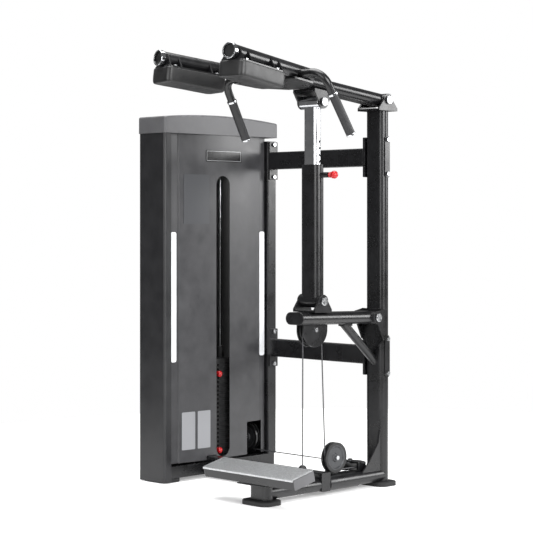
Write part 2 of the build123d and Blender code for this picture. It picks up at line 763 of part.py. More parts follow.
def grip_rings(outer, inner, distance, length):
    """A pair of equal rings, one on each end of the bar."""
    rings = []
    for side in (-1, 1):
        with BuildPart(mode=Mode.PRIVATE) as ring:
            with BuildSketch(grip_place(side, distance)):
                Circle(outer / 2)
                if inner:
                    Circle(inner / 2, mode=Mode.SUBTRACT)
            extrude(amount=length)
            chamfer(ring.edges().filter_by(GeomType.CIRCLE).group_by(SortBy.LENGTH)[-1], length=1.0)
        rings.append(ring.part)
    return rings


hand_grips = Compound(label="hand_grips", children=grip_rings(GRIP_D, BAR_D, 0, GRIP_L))
export_step(hand_grips, "parts/hand_grips.step")
grip_collars = Compound(children=grip_rings(COLLAR_D, BAR_D, GRIP_L, COLLAR_L))
grip_caps = Compound(children=grip_rings(GRIP_D, 0, -GRIP_CAP_L, GRIP_CAP_L))

# ---------------------------------------------------------------- shoulder pads on their tubes
RING_D = 62.0
RING_L = 16.0
PLUG_DEPTH = 6.0
BOARD_T = 6.0
BOARD_W = 112.0
PAD_W = 124.0
PAD_L = 278.0
PAD_T = 64.0
PAD_START = 12.0
PAD_CORNER = 22.0
SADDLE_T = 6.0
SADDLE_INSET = 42.0
SADDLE_GAP = 50.0
SADDLE_RISE = 44.0
board_top = -PAD_TUBE_D / 2
pad_mid = PAD_START + PAD_L / 2
saddle_ys = [
    end + half
    for end in (PAD_START + SADDLE_INSET, PAD_START + PAD_L - SADDLE_INSET)
    for half in (-SADDLE_GAP / 2, SADDLE_GAP / 2)
]

def tube_place(side):
    """The frame at a pad tube's front end, with local y along the tube toward the column."""
    turn = Location((side * PAD_TUBE_X, -PAD_TUBE_END, pad_tube_z), (0, 0, side * PAD_SPLAY))
    return upper_place * turn


pad_tube_list = []
pad_board_list = []
end_rings = []
end_plugs = []
pad_bolt_list = []
for side, name in ((-1, "left"), (1, "right")):
    place = tube_place(side)
    with BuildPart() as pad_tube:
        with BuildSketch(at(place, plane_y(0))):
            Circle(PAD_TUBE_D / 2)
            Circle(PAD_TUBE_D / 2 - PAD_TUBE_WALL, mode=Mode.SUBTRACT)
        extrude(amount=-PAD_TUBE_L)
        add(bar_hole.part, mode=Mode.SUBTRACT)
    pad_tube_list.append(pad_tube.part)

    with BuildPart() as end_ring:
        with BuildSketch(at(place, plane_y(0))):
            Circle(RING_D / 2)
            Circle(PAD_TUBE_D / 2, mode=Mode.SUBTRACT)
        extrude(amount=-RING_L)
        with BuildSketch(at(place, plane_y(0))):
            Circle(RING_D / 2)
            Circle(PAD_TUBE_D / 2 - PAD_TUBE_WALL, mode=Mode.SUBTRACT)
        extrude(amount=SHEET)
        chamfer(end_ring.edges().filter_by(GeomType.CIRCLE).group_by(SortBy.LENGTH)[-1], length=1.2)
    end_rings.append(end_ring.part)

    with BuildPart() as end_plug:
        with BuildSketch(at(place, plane_y(PLUG_DEPTH))):
            Circle(PAD_TUBE_D / 2 - PAD_TUBE_WALL)
        extrude(amount=-PLUG_DEPTH)
    end_plugs.append(end_plug.part)

    with BuildPart() as pad_board:
        with BuildSketch(at(place, Plane.XY.offset(board_top - BOARD_T))):
            with Locations((0, pad_mid)):
                RectangleRounded(BOARD_W, PAD_L - 14.0, PAD_CORNER - 6.0)
        extrude(amount=BOARD_T)
        for y in saddle_ys:
            with BuildSketch(at(place, plane_y(y))):
                with BuildLine():
                    Polyline(
                        (-BOARD_W / 2 + 4.0, board_top),
                        (BOARD_W / 2 - 4.0, board_top),
                        (PAD_TUBE_D / 2 - 3.0, board_top + SADDLE_RISE),
                        (3.0 - PAD_TUBE_D / 2, board_top + SADDLE_RISE),
                        close=True,
                    )
                make_face()
                Circle(PAD_TUBE_D / 2, mode=Mode.SUBTRACT)
            extrude(amount=SADDLE_T / 2, both=True)
    pad_board_list.append(pad_board.part)

    with BuildPart() as shoulder_pad:
        with BuildSketch(at(place, Plane.XY.offset(board_top - BOARD_T - PAD_T))):
            with Locations((0, pad_mid)):
                RectangleRounded(PAD_W, PAD_L, PAD_CORNER)
        extrude(amount=PAD_T)
        low_face = shoulder_pad.faces().sort_by(Axis.Z)[0]
        fillet(low_face.edges(), radius=8.0)
    shoulder_pad.part.label = f"{name}_shoulder_pad"
    export_step(shoulder_pad.part, f"parts/{name}_shoulder_pad.step")

    for end in (PAD_START + SADDLE_INSET, PAD_START + PAD_L - SADDLE_INSET):
        for x in (-BOARD_W / 2 + 14.0, BOARD_W / 2 - 14.0):
            with BuildPart() as pad_bolt:
                with BuildSketch(at(place, Plane.XY.offset(board_top))):
                    with Locations((x, end)):
                        RegularPolygon(8.0, 6)
                extrude(amount=6.0)
            pad_bolt_list.append(pad_bolt.part)

export_step(Compound(label="tube_end_rings", children=end_rings), "parts/tube_end_rings.step")
export_step(Compound(label="tube_end_plugs", children=end_plugs), "parts/tube_end_plugs.step")
export_step(Compound(label="pad_tubes", children=pad_tube_list), "parts/pad_tubes.step")
export_step(Compound(label="pad_boards", children=pad_board_list), "parts/pad_boards.step")
export_step(Compound(label="pad_bolts", children=pad_bolt_list), "parts/pad_bolts.step")

# ---------------------------------------------------------------- foot plate
TREAD_L = 496.0
TREAD_W = 112.0
TREAD_TILT = 13.0
TREAD_Y = -711.0
TREAD_Z = 144.0
TREAD_T = 4.0
TRAY_H = 40.0
TRAY_WALL = 3.0
RIB_PITCH = 14.0
tread_place = Location((0, TREAD_Y, TREAD_Z), (TREAD_TILT, 0, 0))

with BuildPart() as tread_tray:
    with BuildSketch(at(tread_place, plane_x(-TREAD_L / 2))):
        with Locations((0, -TREAD_T - TRAY_H / 2)):
            Rectangle(TREAD_W, TRAY_H)
        with Locations((0, -TREAD_T - TRAY_H / 2 - TRAY_WALL)):
            Rectangle(TREAD_W - 2 * TRAY_WALL, TRAY_H, mode=Mode.SUBTRACT)
    extrude(amount=TREAD_L)

with BuildPart() as tread_end_caps:
    for x in (-TREAD_L / 2 - TRAY_WALL, TREAD_L / 2):
        with BuildSketch(at(tread_place, plane_x(x))):
            with Locations((0, -TREAD_T - TRAY_H / 2)):
                RectangleRounded(TREAD_W, TRAY_H, 4.0)
        extrude(amount=TRAY_WALL)
tread_end_caps.part.label = "tread_end_caps"
export_step(tread_end_caps.part, "parts/tread_end_caps.step")

with BuildPart() as tread_plate:
    with BuildSketch(at(tread_place, plane_x(-TREAD_L / 2))):
        with Locations((0, -TREAD_T / 2)):
            Rectangle(TREAD_W, TREAD_T)
        with Locations((-TREAD_W / 2 - 3.0, -TREAD_T - 1.0)):
            RectangleRounded(6.0, TREAD_T * 2 + 2.0, 2.5)
    extrude(amount=TREAD_L)
    with BuildSketch(at(tread_place, Plane.XY)):
        rib_count = int((TREAD_W - RIB_PITCH) / RIB_PITCH)
        with GridLocations(1, RIB_PITCH, 1, rib_count):
            SlotOverall(TREAD_L - 20.0, 4.0)
    extrude(amount=1.2)
tread_plate.part.label = "tread_plate"
export_step(tread_plate.part, "parts/tread_plate.step")

# The tray stands on a wedge on a flat mounting plate on the front post.
MOUNT_PLATE_T = 4.0
MOUNT_PLATE_L = 178.0
MOUNT_PLATE_W = 70.0
WEDGE_L = 120.0
with BuildPart() as tread_mount:
    with BuildSketch(Plane.XY.offset(FRONT_POST_TOP)):
        with Locations((0, TREAD_Y + 10.0)):
            Rectangle(MOUNT_PLATE_L, MOUNT_PLATE_W)
    extrude(amount=MOUNT_PLATE_T)
    with BuildSketch(Plane.XY.offset(FRONT_POST_TOP + MOUNT_PLATE_T)):
        with Locations((0, TREAD_Y + 10.0)):
            Rectangle(WEDGE_L, MOUNT_PLATE_W - 14.0)
    extrude(amount=TREAD_Z - FRONT_POST_TOP)
    with BuildSketch(at(tread_place, plane_x(-TREAD_L))):
        with Locations((0, 2 * TRAY_H - TREAD_T - TRAY_WALL)):
            Rectangle(3 * TREAD_W, 4 * TRAY_H)
    extrude(amount=2 * TREAD_L, mode=Mode.SUBTRACT)

# ---------------------------------------------------------------- base pulleys and cable anchor
GROOVE_R = GROOVE_D / 2
ANCHOR_Y = -456.0
ANCHOR_Z = 128.0
FRONT_PULLEY_Y = -270.0
FRONT_PULLEY_Z = 141.0
SIDE_PULLEY_Z = FRONT_PULLEY_Z - GROOVE_R
OUT_LINE_Y = -59.0
BRACKET_T = 8.0
sleeve_top = BASE_Z + OVAL_T / 2 + SLEEVE_T
beam_top = BASE_Z + OVAL_T / 2

front_pulley_place = Location((0, FRONT_PULLEY_Y, FRONT_PULLEY_Z))
base_front_pulley = pulley(front_pulley_place)
base_front_pulley.label = "base_front_pulley"
export_step(base_front_pulley, "parts/base_front_pulley.step")

post_left = -PULLEY_W / 2 - CHEEK_GAP - BRACKET_T
with BuildPart() as front_pulley_post:
    with BuildSketch(plane_x(post_left)):
        with BuildLine():
            Polyline(
                (FRONT_PULLEY_Y - 32.0, sleeve_top),
                (FRONT_PULLEY_Y + 32.0, sleeve_top),
                (FRONT_PULLEY_Y + 16.0, FRONT_PULLEY_Z),
                (FRONT_PULLEY_Y - 16.0, FRONT_PULLEY_Z),
                close=True,
            )
        make_face()
        with Locations((FRONT_PULLEY_Y, FRONT_PULLEY_Z)):
            Circle(16.0)
            Circle(AXLE_D / 2, mode=Mode.SUBTRACT)
    extrude(amount=BRACKET_T)
    with BuildSketch(Plane.XY.offset(sleeve_top)):
        with Locations((post_left - 6.0, FRONT_PULLEY_Y)):
            Rectangle(28.0, 64.0)
    extrude(amount=-SLEEVE_T)
    with BuildSketch(plane_y(SLEEVE_REAR)):
        with Locations((0, BASE_Z)):
            SlotOverall(OVAL_W + 2 * SLEEVE_T, OVAL_T + 2 * SLEEVE_T)
    extrude(amount=SLEEVE_REAR - SLEEVE_FRONT, mode=Mode.SUBTRACT)

base_front_axle = axle(front_pulley_place, post_left, PULLEY_W / 2 + CHEEK_GAP)

# The side pulley lies flat and turns the cable toward the tower.
side_pulley_x = -GROOVE_R
side_pulley_y = OUT_LINE_Y - GROOVE_R
side_pulley_place = Location((side_pulley_x, side_pulley_y, SIDE_PULLEY_Z), (0, -90, 0))
base_side_pulley = pulley(side_pulley_place)
base_side_pulley.label = "base_side_pulley"
export_step(base_side_pulley, "parts/base_side_pulley.step")

SHELF_T = 3.0
STRAP_T = 4.0
WEB_X = 10.0
strap_z = SIDE_PULLEY_Z + PULLEY_W / 2 + CHEEK_GAP
with BuildPart() as side_pulley_bracket:
    with BuildSketch(Plane.XY.offset(beam_top)):
        with Locations(((side_pulley_x + WEB_X + STRAP_T) / 2 - 8.0, side_pulley_y)):
            Rectangle(WEB_X + STRAP_T - side_pulley_x + 16.0, 46.0)
    extrude(amount=SHELF_T)
    with BuildSketch(Plane.XY.offset(beam_top)):
        with Locations((WEB_X + STRAP_T / 2, side_pulley_y)):
            Rectangle(STRAP_T, 46.0)
    extrude(amount=strap_z + STRAP_T - beam_top)
    with BuildSketch(Plane.XY.offset(strap_z)):
        with Locations(((side_pulley_x + WEB_X + STRAP_T) / 2, side_pulley_y)):
            SlotOverall(WEB_X + STRAP_T - side_pulley_x + 30.0, 30.0)
    extrude(amount=STRAP_T)
    with BuildSketch(Plane.XY.offset(beam_top)):
        with Locations((side_pulley_x, side_pulley_y)):
            Circle(AXLE_D / 2)
    extrude(amount=2 * BASE_Z, mode=Mode.SUBTRACT)

shelf_reach = SIDE_PULLEY_Z - beam_top
base_side_axle = axle(side_pulley_place, -shelf_reach, PULLEY_W / 2 + CHEEK_GAP + STRAP_T)

EYE_R = 19.0
EYE_T = 12.0
with BuildPart() as cable_anchor:
    with BuildSketch(plane_x(-EYE_T / 2)):
        with Locations((ANCHOR_Y, ANCHOR_Z - EYE_R)):
            Circle(EYE_R)
            with Locations((0, (beam_top - ANCHOR_Z + EYE_R) / 2)):
                Rectangle(2 * EYE_R, ANCHOR_Z - EYE_R - beam_top)
            Circle(BOLT_D / 2, mode=Mode.SUBTRACT)
    extrude(amount=EYE_T)

# ---------------------------------------------------------------- weight tower frame
BASE_FRAME_H = 50.0
BASE_FRAME_W = 45.0
base_back = TOWER_BACK + SHEET
base_near = TOWER_NEAR + SHEET
base_far = TOWER_FAR - SHEET
base_mid = ((base_front + base_back) / 2, (base_near + base_far) / 2)
base_size = (base_front - base_back, base_far - base_near)
stack_floor = FOOT_H + BASE_FRAME_H
HEAD_Z = 1326.0
HEAD_T = 6.0
HEAD_INSET = 4.0
CABLE_HOLE_D = 16.0
NEAR_POST = (STACK_X + 11.0, TOWER_NEAR + 36.0)
ROD_D = 20.0
ROD_GAP = 126.0
PLATE_X = 110.0
PLATE_Y = 220.0
PLATE_T = 17.6
PLATE_PITCH = 18.5
PLATE_COUNT = 22
PICKED = 4
STACK_BOTTOM = 100.0
STEM_D = 22.0
rod_ys = (STACK_Y - ROD_GAP / 2, STACK_Y + ROD_GAP / 2)
rod_places = [(STACK_X, y) for y in rod_ys]

ROD_MARGIN = 30.0
with BuildPart() as tower_base:
    with BuildSketch(Plane.XY.offset(FOOT_H)):
        with Locations(base_mid):
            RectangleRounded(*base_size, COVER_CORNER)
            Rectangle(base_size[0] - 2 * BASE_FRAME_W, base_size[1] - 2 * BASE_FRAME_W, mode=Mode.SUBTRACT)
        with Locations((base_mid[0], STACK_Y)):
            Rectangle(base_size[0], ROD_GAP + 2 * ROD_MARGIN)
    extrude(amount=BASE_FRAME_H)

with BuildPart() as tower_posts:
    with BuildSketch(Plane.XY.offset(stack_floor)):
        with Locations((POST_X, 0), NEAR_POST):
            box_ring(POST_SIZE, POST_SIZE, BEAM_WALL, POST_CORNER)
    extrude(amount=POST_TOP - stack_floor)
    with BuildSketch(plane_x(POST_X - POST_SIZE / 2)):
        with Locations(*[(0, z) for z in flange_bolt_zs]):
            Circle(BOLT_D / 2)
    extrude(amount=POST_SIZE, mode=Mode.SUBTRACT)

# The head plate runs from post to post, and the front panel is fastened to its edge.
CABLE_LEAD = 1.0
TOWER_PULLEY_X = STACK_X - CABLE_LEAD
riser_x = TOWER_PULLEY_X - GROOVE_R
riser_y = OUT_LINE_Y
head_front = WING_X - SHEET
head_back = base_back + HEAD_INSET
head_near = base_near + HEAD_INSET
head_far = base_far - HEAD_INSET
with BuildPart() as tower_head:
    with BuildSketch(Plane.XY.offset(HEAD_Z)):
        with Locations(((head_front + head_back) / 2, (head_near + head_far) / 2)):
            RectangleRounded(head_front - head_back, head_far - head_near, COVER_CORNER)
        with Locations((POST_X, 0), NEAR_POST):
            RectangleRounded(POST_SIZE, POST_SIZE, POST_CORNER, mode=Mode.SUBTRACT)
        with Locations(*rod_places):
            Circle(ROD_D / 2, mode=Mode.SUBTRACT)
        with Locations((STACK_X, STACK_Y), (riser_x, riser_y)):
            Circle(CABLE_HOLE_D / 2, mode=Mode.SUBTRACT)
    extrude(amount=HEAD_T)

with BuildPart() as guide_rods:
    with BuildSketch(Plane.XY.offset(stack_floor)):
        with Locations(*rod_places):
            Circle(ROD_D / 2)
    extrude(amount=HEAD_Z + HEAD_T - stack_floor)
guide_rods.part.label = "guide_rods"
export_step(guide_rods.part, "parts/guide_rods.step")

with BuildPart() as stack_buffers:
    with BuildSketch(Plane.XY.offset(stack_floor)):
        with Locations(*rod_places):
            Circle(ROD_D)
            Circle(ROD_D / 2, mode=Mode.SUBTRACT)
    extrude(amount=STACK_BOTTOM - stack_floor)

# ---------------------------------------------------------------- weight stack
ROD_HOLE_D = ROD_D + 1.0
STEM_HOLE_D = STEM_D + 4.0
PIN_SHAFT_D = 9.0
PIN_HEAD_D = 26.0
PIN_HEAD_L = 22.0
SELECTOR_HOLE_D = 10.0


def weight_plate(index):
    """One plate with its rod and stem holes and a selector hole from the front."""
    low = STACK_BOTTOM + index * PLATE_PITCH
    front = STACK_X + PLATE_X / 2
    with BuildPart(mode=Mode.PRIVATE) as plate:
        with BuildSketch(Plane.XY.offset(low)):
            with Locations((STACK_X, STACK_Y)):
                Rectangle(PLATE_X, PLATE_Y)
                Circle(STEM_HOLE_D / 2, mode=Mode.SUBTRACT)
            with Locations(*rod_places):
                Circle(ROD_HOLE_D / 2, mode=Mode.SUBTRACT)
        extrude(amount=PLATE_T)
        with BuildSketch(plane_x(front)):
            with Locations((STACK_Y, low + PLATE_T / 2)):
                Rectangle(SELECTOR_HOLE_D, SELECTOR_HOLE_D)
        extrude(amount=-PLATE_X / 2, mode=Mode.SUBTRACT)
    return plate.part


rest_count = PLATE_COUNT - PICKED
resting_plates = Compound(
    label="resting_plates", children=[weight_plate(index) for index in range(rest_count)]
)
export_step(resting_plates, "parts/resting_plates.step")
lifted_plates = Compound(
    label="lifted_plates",
    children=[weight_plate(index) for index in range(rest_count, PLATE_COUNT - 1)],
)
export_step(lifted_plates, "parts/lifted_plates.step")

head_low = STACK_BOTTOM + (PLATE_COUNT - 1) * PLATE_PITCH
COLLAR_H = 50.0
with BuildPart() as head_plate:
    with BuildSketch(Plane.XY.offset(head_low)):
        with Locations((STACK_X, STACK_Y)):
            Rectangle(PLATE_X, PLATE_Y)
    extrude(amount=PLATE_T)
    with BuildSketch(Plane.XY.offset(head_low + PLATE_T)):
        with Locations(*rod_places):
            Circle(ROD_D * 0.9)
    extrude(amount=COLLAR_H)
    with BuildSketch(Plane.XY.offset(head_low)):
        with Locations(*rod_places):
            Circle(ROD_HOLE_D / 2)
        with Locations((STACK_X, STACK_Y)):
            Circle(STEM_D / 2)
    extrude(amount=PLATE_T + COLLAR_H, mode=Mode.SUBTRACT)
head_plate.part.label = "head_plate"
export_step(head_plate.part, "parts/head_plate.step")

STEM_CAP_H = 40.0
stem_top = head_low + PLATE_T + STEM_CAP_H
selector_zs = [
    STACK_BOTTOM + index * PLATE_PITCH + PLATE_T / 2 for index in range(PLATE_COUNT - 1)
]
with BuildPart() as selector_stem:
    with BuildSketch(Plane.XY.offset(STACK_BOTTOM)):
        with Locations((STACK_X, STACK_Y)):
            Circle(STEM_D / 2)
    extrude(amount=head_low + PLATE_T - STACK_BOTTOM)
    with BuildSketch(Plane.XY.offset(head_low + PLATE_T)):
        with Locations((STACK_X, STACK_Y)):
            RegularPolygon(20.0, 6)
    extrude(amount=STEM_CAP_H)
    with BuildSketch(plane_x(STACK_X - STEM_D)):
        with Locations(*[(STACK_Y, z) for z in selector_zs]):
            Rectangle(SELECTOR_HOLE_D, SELECTOR_HOLE_D)
    extrude(amount=2 * STEM_D, mode=Mode.SUBTRACT)
selector_stem.part.label = "selector_stem"
export_step(selector_stem.part, "parts/selector_stem.step")


def stack_pin(z, tip):
    """A selector pin with a round head, pushed into the stack from the front as far as tip."""
    front = STACK_X + PLATE_X / 2
    place = Location((0, STACK_Y, z))
    with BuildPart(mode=Mode.PRIVATE) as pin:
        with BuildSketch(at(place, Plane.XY)):
            with BuildLine():
                Polyline(
                    (tip, 0),
                    (tip, PIN_SHAFT_D / 2),
                    (front + 1.0, PIN_SHAFT_D / 2),
                    (front + 1.0, PIN_HEAD_D / 2),
                    (front + 14.0, PIN_HEAD_D / 2),
                )
                dome_arc((front + 14.0, PIN_HEAD_D / 2), front + PIN_HEAD_L)
                Line((front + PIN_HEAD_L, 0), (tip, 0))
            make_face()
        revolve(axis=Axis((0, STACK_Y, z), (1, 0, 0)))
    return pin.part


selector_pin = stack_pin(selector_zs[rest_count], STACK_X - STEM_D / 2)
selector_pin.label = "selector_pin"
export_step(selector_pin, "parts/selector_pin.step")
spare_pin = stack_pin(selector_zs[0], STACK_X + STEM_HOLE_D / 2 + 1.0)
spare_pin.label = "spare_pin"
export_step(spare_pin, "parts/spare_pin.step")

# ---------------------------------------------------------------- tower pulleys
TOP_PULLEY_Z = HEAD_Z + HEAD_T + PULLEY_D / 2 + PULLEY_CLEAR
low_pulley_place = Location((TOWER_PULLEY_X, OUT_LINE_Y, FRONT_PULLEY_Z), (0, 0, 90))
tower_low_pulley = pulley(low_pulley_place)
tower_low_pulley.label = "tower_low_pulley"
export_step(tower_low_pulley, "parts/tower_low_pulley.step")

top_run = Vector(STACK_X - riser_x, STACK_Y - riser_y, 0)
top_dir = top_run.normalized()
top_angle = math.degrees(math.atan2(top_dir.Y, top_dir.X)) - 90
rear_top = Vector(riser_x, riser_y, TOP_PULLEY_Z) + top_dir * GROOVE_R
front_top = Vector(STACK_X, STACK_Y, TOP_PULLEY_Z) - top_dir * GROOVE_R
rear_top_place = Location(tuple(rear_top), (0, 0, top_angle))
front_top_place = Location(tuple(front_top), (0, 0, top_angle))
top_rear_pulley = pulley(rear_top_place)
top_rear_pulley.label = "top_rear_pulley"
export_step(top_rear_pulley, "parts/top_rear_pulley.step")
top_front_pulley = pulley(front_top_place)
top_front_pulley.label = "top_front_pulley"
export_step(top_front_pulley, "parts/top_front_pulley.step")


def pulley_cheek(place, x, edge, width):
    """A plate at local x that carries a pulley's axle and runs to the height called edge."""
    rise = edge - place.position.Z
    with BuildPart(mode=Mode.PRIVATE) as cheek:
        with BuildSketch(at(place, plane_x(x))):
            Circle(width / 2)
            with Locations((0, rise / 2)):
                Rectangle(width, abs(rise))
            Circle(AXLE_D / 2, mode=Mode.SUBTRACT)
        extrude(amount=CHEEK_T)
    return cheek.part


CHEEK_FOOT_W = 44.0
low_cheek = pulley_cheek(low_pulley_place, cheek_x, stack_floor, CHEEK_FOOT_W)
top_cheeks = [
    pulley_cheek(place, x, HEAD_Z + HEAD_T, CHEEK_FOOT_W)
    for place in (rear_top_place, front_top_place)
    for x in (-cheek_x - CHEEK_T, cheek_x)
]
tower_axles = [axle(low_pulley_place, -PULLEY_W / 2 - CHEEK_GAP, cheek_x + CHEEK_T)]
tower_axles += [
    axle(place, -cheek_x - CHEEK_T, cheek_x + CHEEK_T) for place in (rear_top_place, front_top_place)
]

# ---------------------------------------------------------------- steel cable
moving_centre = hanger_place.position
lean_base = math.atan2(ANCHOR_Y - moving_centre.Y, moving_centre.Z - ANCHOR_Z)
anchor_reach = math.hypot(moving_centre.Y - ANCHOR_Y, moving_centre.Z - ANCHOR_Z)
anchor_lean = -lean_base - math.asin(GROOVE_R / anchor_reach)
drop_y = FRONT_PULLEY_Y - moving_centre.Y
drop_z = moving_centre.Z - FRONT_PULLEY_Z
drop_lean = math.atan2(drop_y, drop_z) - math.asin(2 * GROOVE_R / math.hypot(drop_y, drop_z))


def around(centre, angle):
    """The cable's point on a pulley in the plane X = 0; the angle runs from +Y toward +Z."""
    y = centre[0] + GROOVE_R * math.cos(angle)
    z = centre[1] + GROOVE_R * math.sin(angle)
    return (0, y, z)


moving_yz = (moving_centre.Y, moving_centre.Z)
front_yz = (FRONT_PULLEY_Y, FRONT_PULLEY_Z)
leg_up_end = around(moving_yz, math.pi - anchor_lean)
leg_down_start = around(moving_yz, drop_lean)
leg_down_end = around(front_yz, math.pi + drop_lean)
crown_angle = (math.pi - anchor_lean + drop_lean) / 2

with BuildPart() as loop_cable:
    with BuildLine() as loop_line:
        Line((0, ANCHOR_Y, ANCHOR_Z), leg_up_end)
        ThreePointArc(leg_up_end, around(moving_yz, crown_angle), leg_down_start)
        Line(leg_down_start, leg_down_end)
    with BuildSketch(loop_line.line ^ 0):
        Circle(CABLE_D / 2)
    sweep()
loop_cable.part.label = "loop_cable"
export_step(loop_cable.part, "parts/loop_cable.step")

HALF = math.sqrt(0.5)
line_z = FRONT_PULLEY_Z - GROOVE_R
under_front = around(front_yz, -math.pi / 2)
side_start = (0, side_pulley_y, line_z)
side_mid = (
    side_pulley_x + GROOVE_R * HALF,
    side_pulley_y + GROOVE_R * HALF,
    line_z,
)
side_end = (side_pulley_x, OUT_LINE_Y, line_z)
low_start = (TOWER_PULLEY_X, OUT_LINE_Y, line_z)
low_mid = (TOWER_PULLEY_X - GROOVE_R * HALF, OUT_LINE_Y, FRONT_PULLEY_Z - GROOVE_R * HALF)
low_end = (riser_x, OUT_LINE_Y, FRONT_PULLEY_Z)
rear_start = (riser_x, riser_y, TOP_PULLEY_Z)
rear_mid = tuple(rear_top - top_dir * GROOVE_R * HALF + Vector(0, 0, GROOVE_R * HALF))
rear_end = tuple(rear_top + Vector(0, 0, GROOVE_R))
front_start = tuple(front_top + Vector(0, 0, GROOVE_R))
front_mid = tuple(front_top + top_dir * GROOVE_R * HALF + Vector(0, 0, GROOVE_R * HALF))
front_end = (STACK_X, STACK_Y, TOP_PULLEY_Z)

with BuildPart() as run_cable:
    with BuildLine() as run_line:
        ThreePointArc(leg_down_end, around(front_yz, math.pi * 1.25 + drop_lean), under_front)
        Line(under_front, side_start)
        ThreePointArc(side_start, side_mid, side_end)
        Line(side_end, low_start)
        ThreePointArc(low_start, low_mid, low_end)
        Line(low_end, rear_start)
        ThreePointArc(rear_start, rear_mid, rear_end)
        Line(rear_end, front_start)
        ThreePointArc(front_start, front_mid, front_end)
    with BuildSketch(run_line.line ^ 0):
        Circle(CABLE_D / 2)
    sweep()
run_cable.part.label = "run_cable"
export_step(run_cable.part, "parts/run_cable.step")
for cable, line in ((loop_cable, loop_line), (run_cable, run_line)):
    expected = line.wires()[0].length * math.pi * CABLE_D**2 / 4
    print(cable.part.label, round(line.wires()[0].length), round(cable.part.volume / expected, 4))

with BuildPart() as stack_cable:
    with BuildSketch(Plane.XY.offset(stem_top)):
        with Locations((STACK_X, STACK_Y)):
            Circle(CABLE_D / 2)
    extrude(amount=TOP_PULLEY_Z - stem_top)
stack_cable.part.label = "stack_cable"
export_step(stack_cable.part, "parts/stack_cable.step")

# ---------------------------------------------------------------- tower shroud
COVER_Z = 4.0
COVER_TURN = 38.0
cover_mid = ((TOWER_FRONT + TOWER_BACK) / 2 + 1.0, (TOWER_NEAR + TOWER_FAR) / 2)
cover_size = (TOWER_FRONT - TOWER_BACK + 2.0, TOWER_FAR - TOWER_NEAR)

with BuildPart() as tower_covers:
    with BuildSketch(Plane.XY.offset(COVER_Z)):
        with Locations(cover_mid):
            RectangleRounded(*cover_size, COVER_CORNER)
            RectangleRounded(
                cover_size[0] - 2 * SHEET,
                cover_size[1] - 2 * SHEET,
                COVER_CORNER - SHEET,
                mode=Mode.SUBTRACT,
            )
        with Locations((cover_mid[0] + cover_size[0] / 2, cover_mid[1] + COVER_TURN)):
            Rectangle(2 * COVER_CORNER, cover_size[1], mode=Mode.SUBTRACT)
        with Locations((POST_X, 0)):
            Rectangle(2 * POST_SIZE, 2 * POST_SIZE, mode=Mode.SUBTRACT)
    extrude(amount=TOWER_TOP - COVER_Z)
tower_covers.part.label = "tower_covers"
export_step(tower_covers.part, "parts/tower_covers.step")

# The front panel bulges between two flat wings.
PANEL_BOTTOM = 78.0
PANEL_PROUD = 3.0
PANEL_FACE = TOWER_FRONT + PANEL_PROUD
PANEL_EDGE = -640.0
panel_near = TOWER_NEAR + COVER_TURN + 4.0
panel_far = -POST_SIZE / 2 - 6.0
WING_NEAR_W = 46.0
WING_FAR_W = 34.0
CREASE = 5.0
bulge_near = panel_near + WING_NEAR_W + CREASE
bulge_far = panel_far - WING_FAR_W - CREASE
bulge_mid = (bulge_near + bulge_far) / 2
SLOT_W = 80.0
SLOT_LOW = 85.0
SLOT_HIGH = 1305.0
NOTCH_TOP = 221.0
NOTCH_NEAR = -152.0
NOTCH_FAR = -52.0


def panel_outline(front, back):
    """The plan of a sheet that follows the panel's face between two offsets."""
    faces = []
    for shift in (front, back):
        faces.append(
            (
                (WING_X + shift, panel_near),
                (WING_X + shift, panel_near + WING_NEAR_W),
                (PANEL_EDGE + shift, bulge_near),
                (PANEL_FACE + shift, bulge_mid),
                (PANEL_EDGE + shift, bulge_far),
                (WING_X + shift, panel_far - WING_FAR_W),
                (WING_X + shift, panel_far),
            )
        )
    outer, inner = faces
    for side in faces:
        Polyline(side[0], side[1], side[2])
        ThreePointArc(side[2], side[3], side[4])
        Polyline(side[4], side[5], side[6])
    Line(outer[0], inner[0])
    Line(outer[6], inner[6])


with BuildPart() as tower_panel:
    with BuildSketch(Plane.XY.offset(PANEL_BOTTOM)):
        with BuildLine():
            panel_outline(0, -SHEET)
        make_face()
    extrude(amount=TOWER_TOP - 4.0 - PANEL_BOTTOM)
    with BuildSketch(plane_x(WING_X - 30.0)):
        with Locations((STACK_Y, (SLOT_LOW + SLOT_HIGH) / 2)):
            SlotOverall(SLOT_HIGH - SLOT_LOW, SLOT_W, rotation=90)
        with Locations(((NOTCH_NEAR + NOTCH_FAR) / 2, NOTCH_TOP / 2)):
            Rectangle(NOTCH_FAR - NOTCH_NEAR, NOTCH_TOP)
        with Locations((CROSS_Y, FLOOR_BEAM_Z)):
            Rectangle(BEAM_T + 2 * SHEET, BEAM_H + 2 * SHEET)
    extrude(amount=60.0, mode=Mode.SUBTRACT)
tower_panel.part.label = "tower_panel"
export_step(tower_panel.part, "parts/tower_panel.step")


PLATE_GAP = 0.3


def panel_plates(centres, size, corner, proud):
    """Thin plates on the panel's face, a bead of glue off it, one at each (y, z)."""
    with BuildPart(mode=Mode.PRIVATE) as plates:
        with BuildSketch():
            with BuildLine():
                panel_outline(PLATE_GAP + proud, PLATE_GAP)
            make_face()
        extrude(amount=TOWER_TOP)
        with BuildSketch(plane_x(WING_X - 30.0)):
            with Locations(*centres):
                RectangleRounded(*size, corner)
        extrude(amount=60.0, mode=Mode.INTERSECT)
    return plates.part


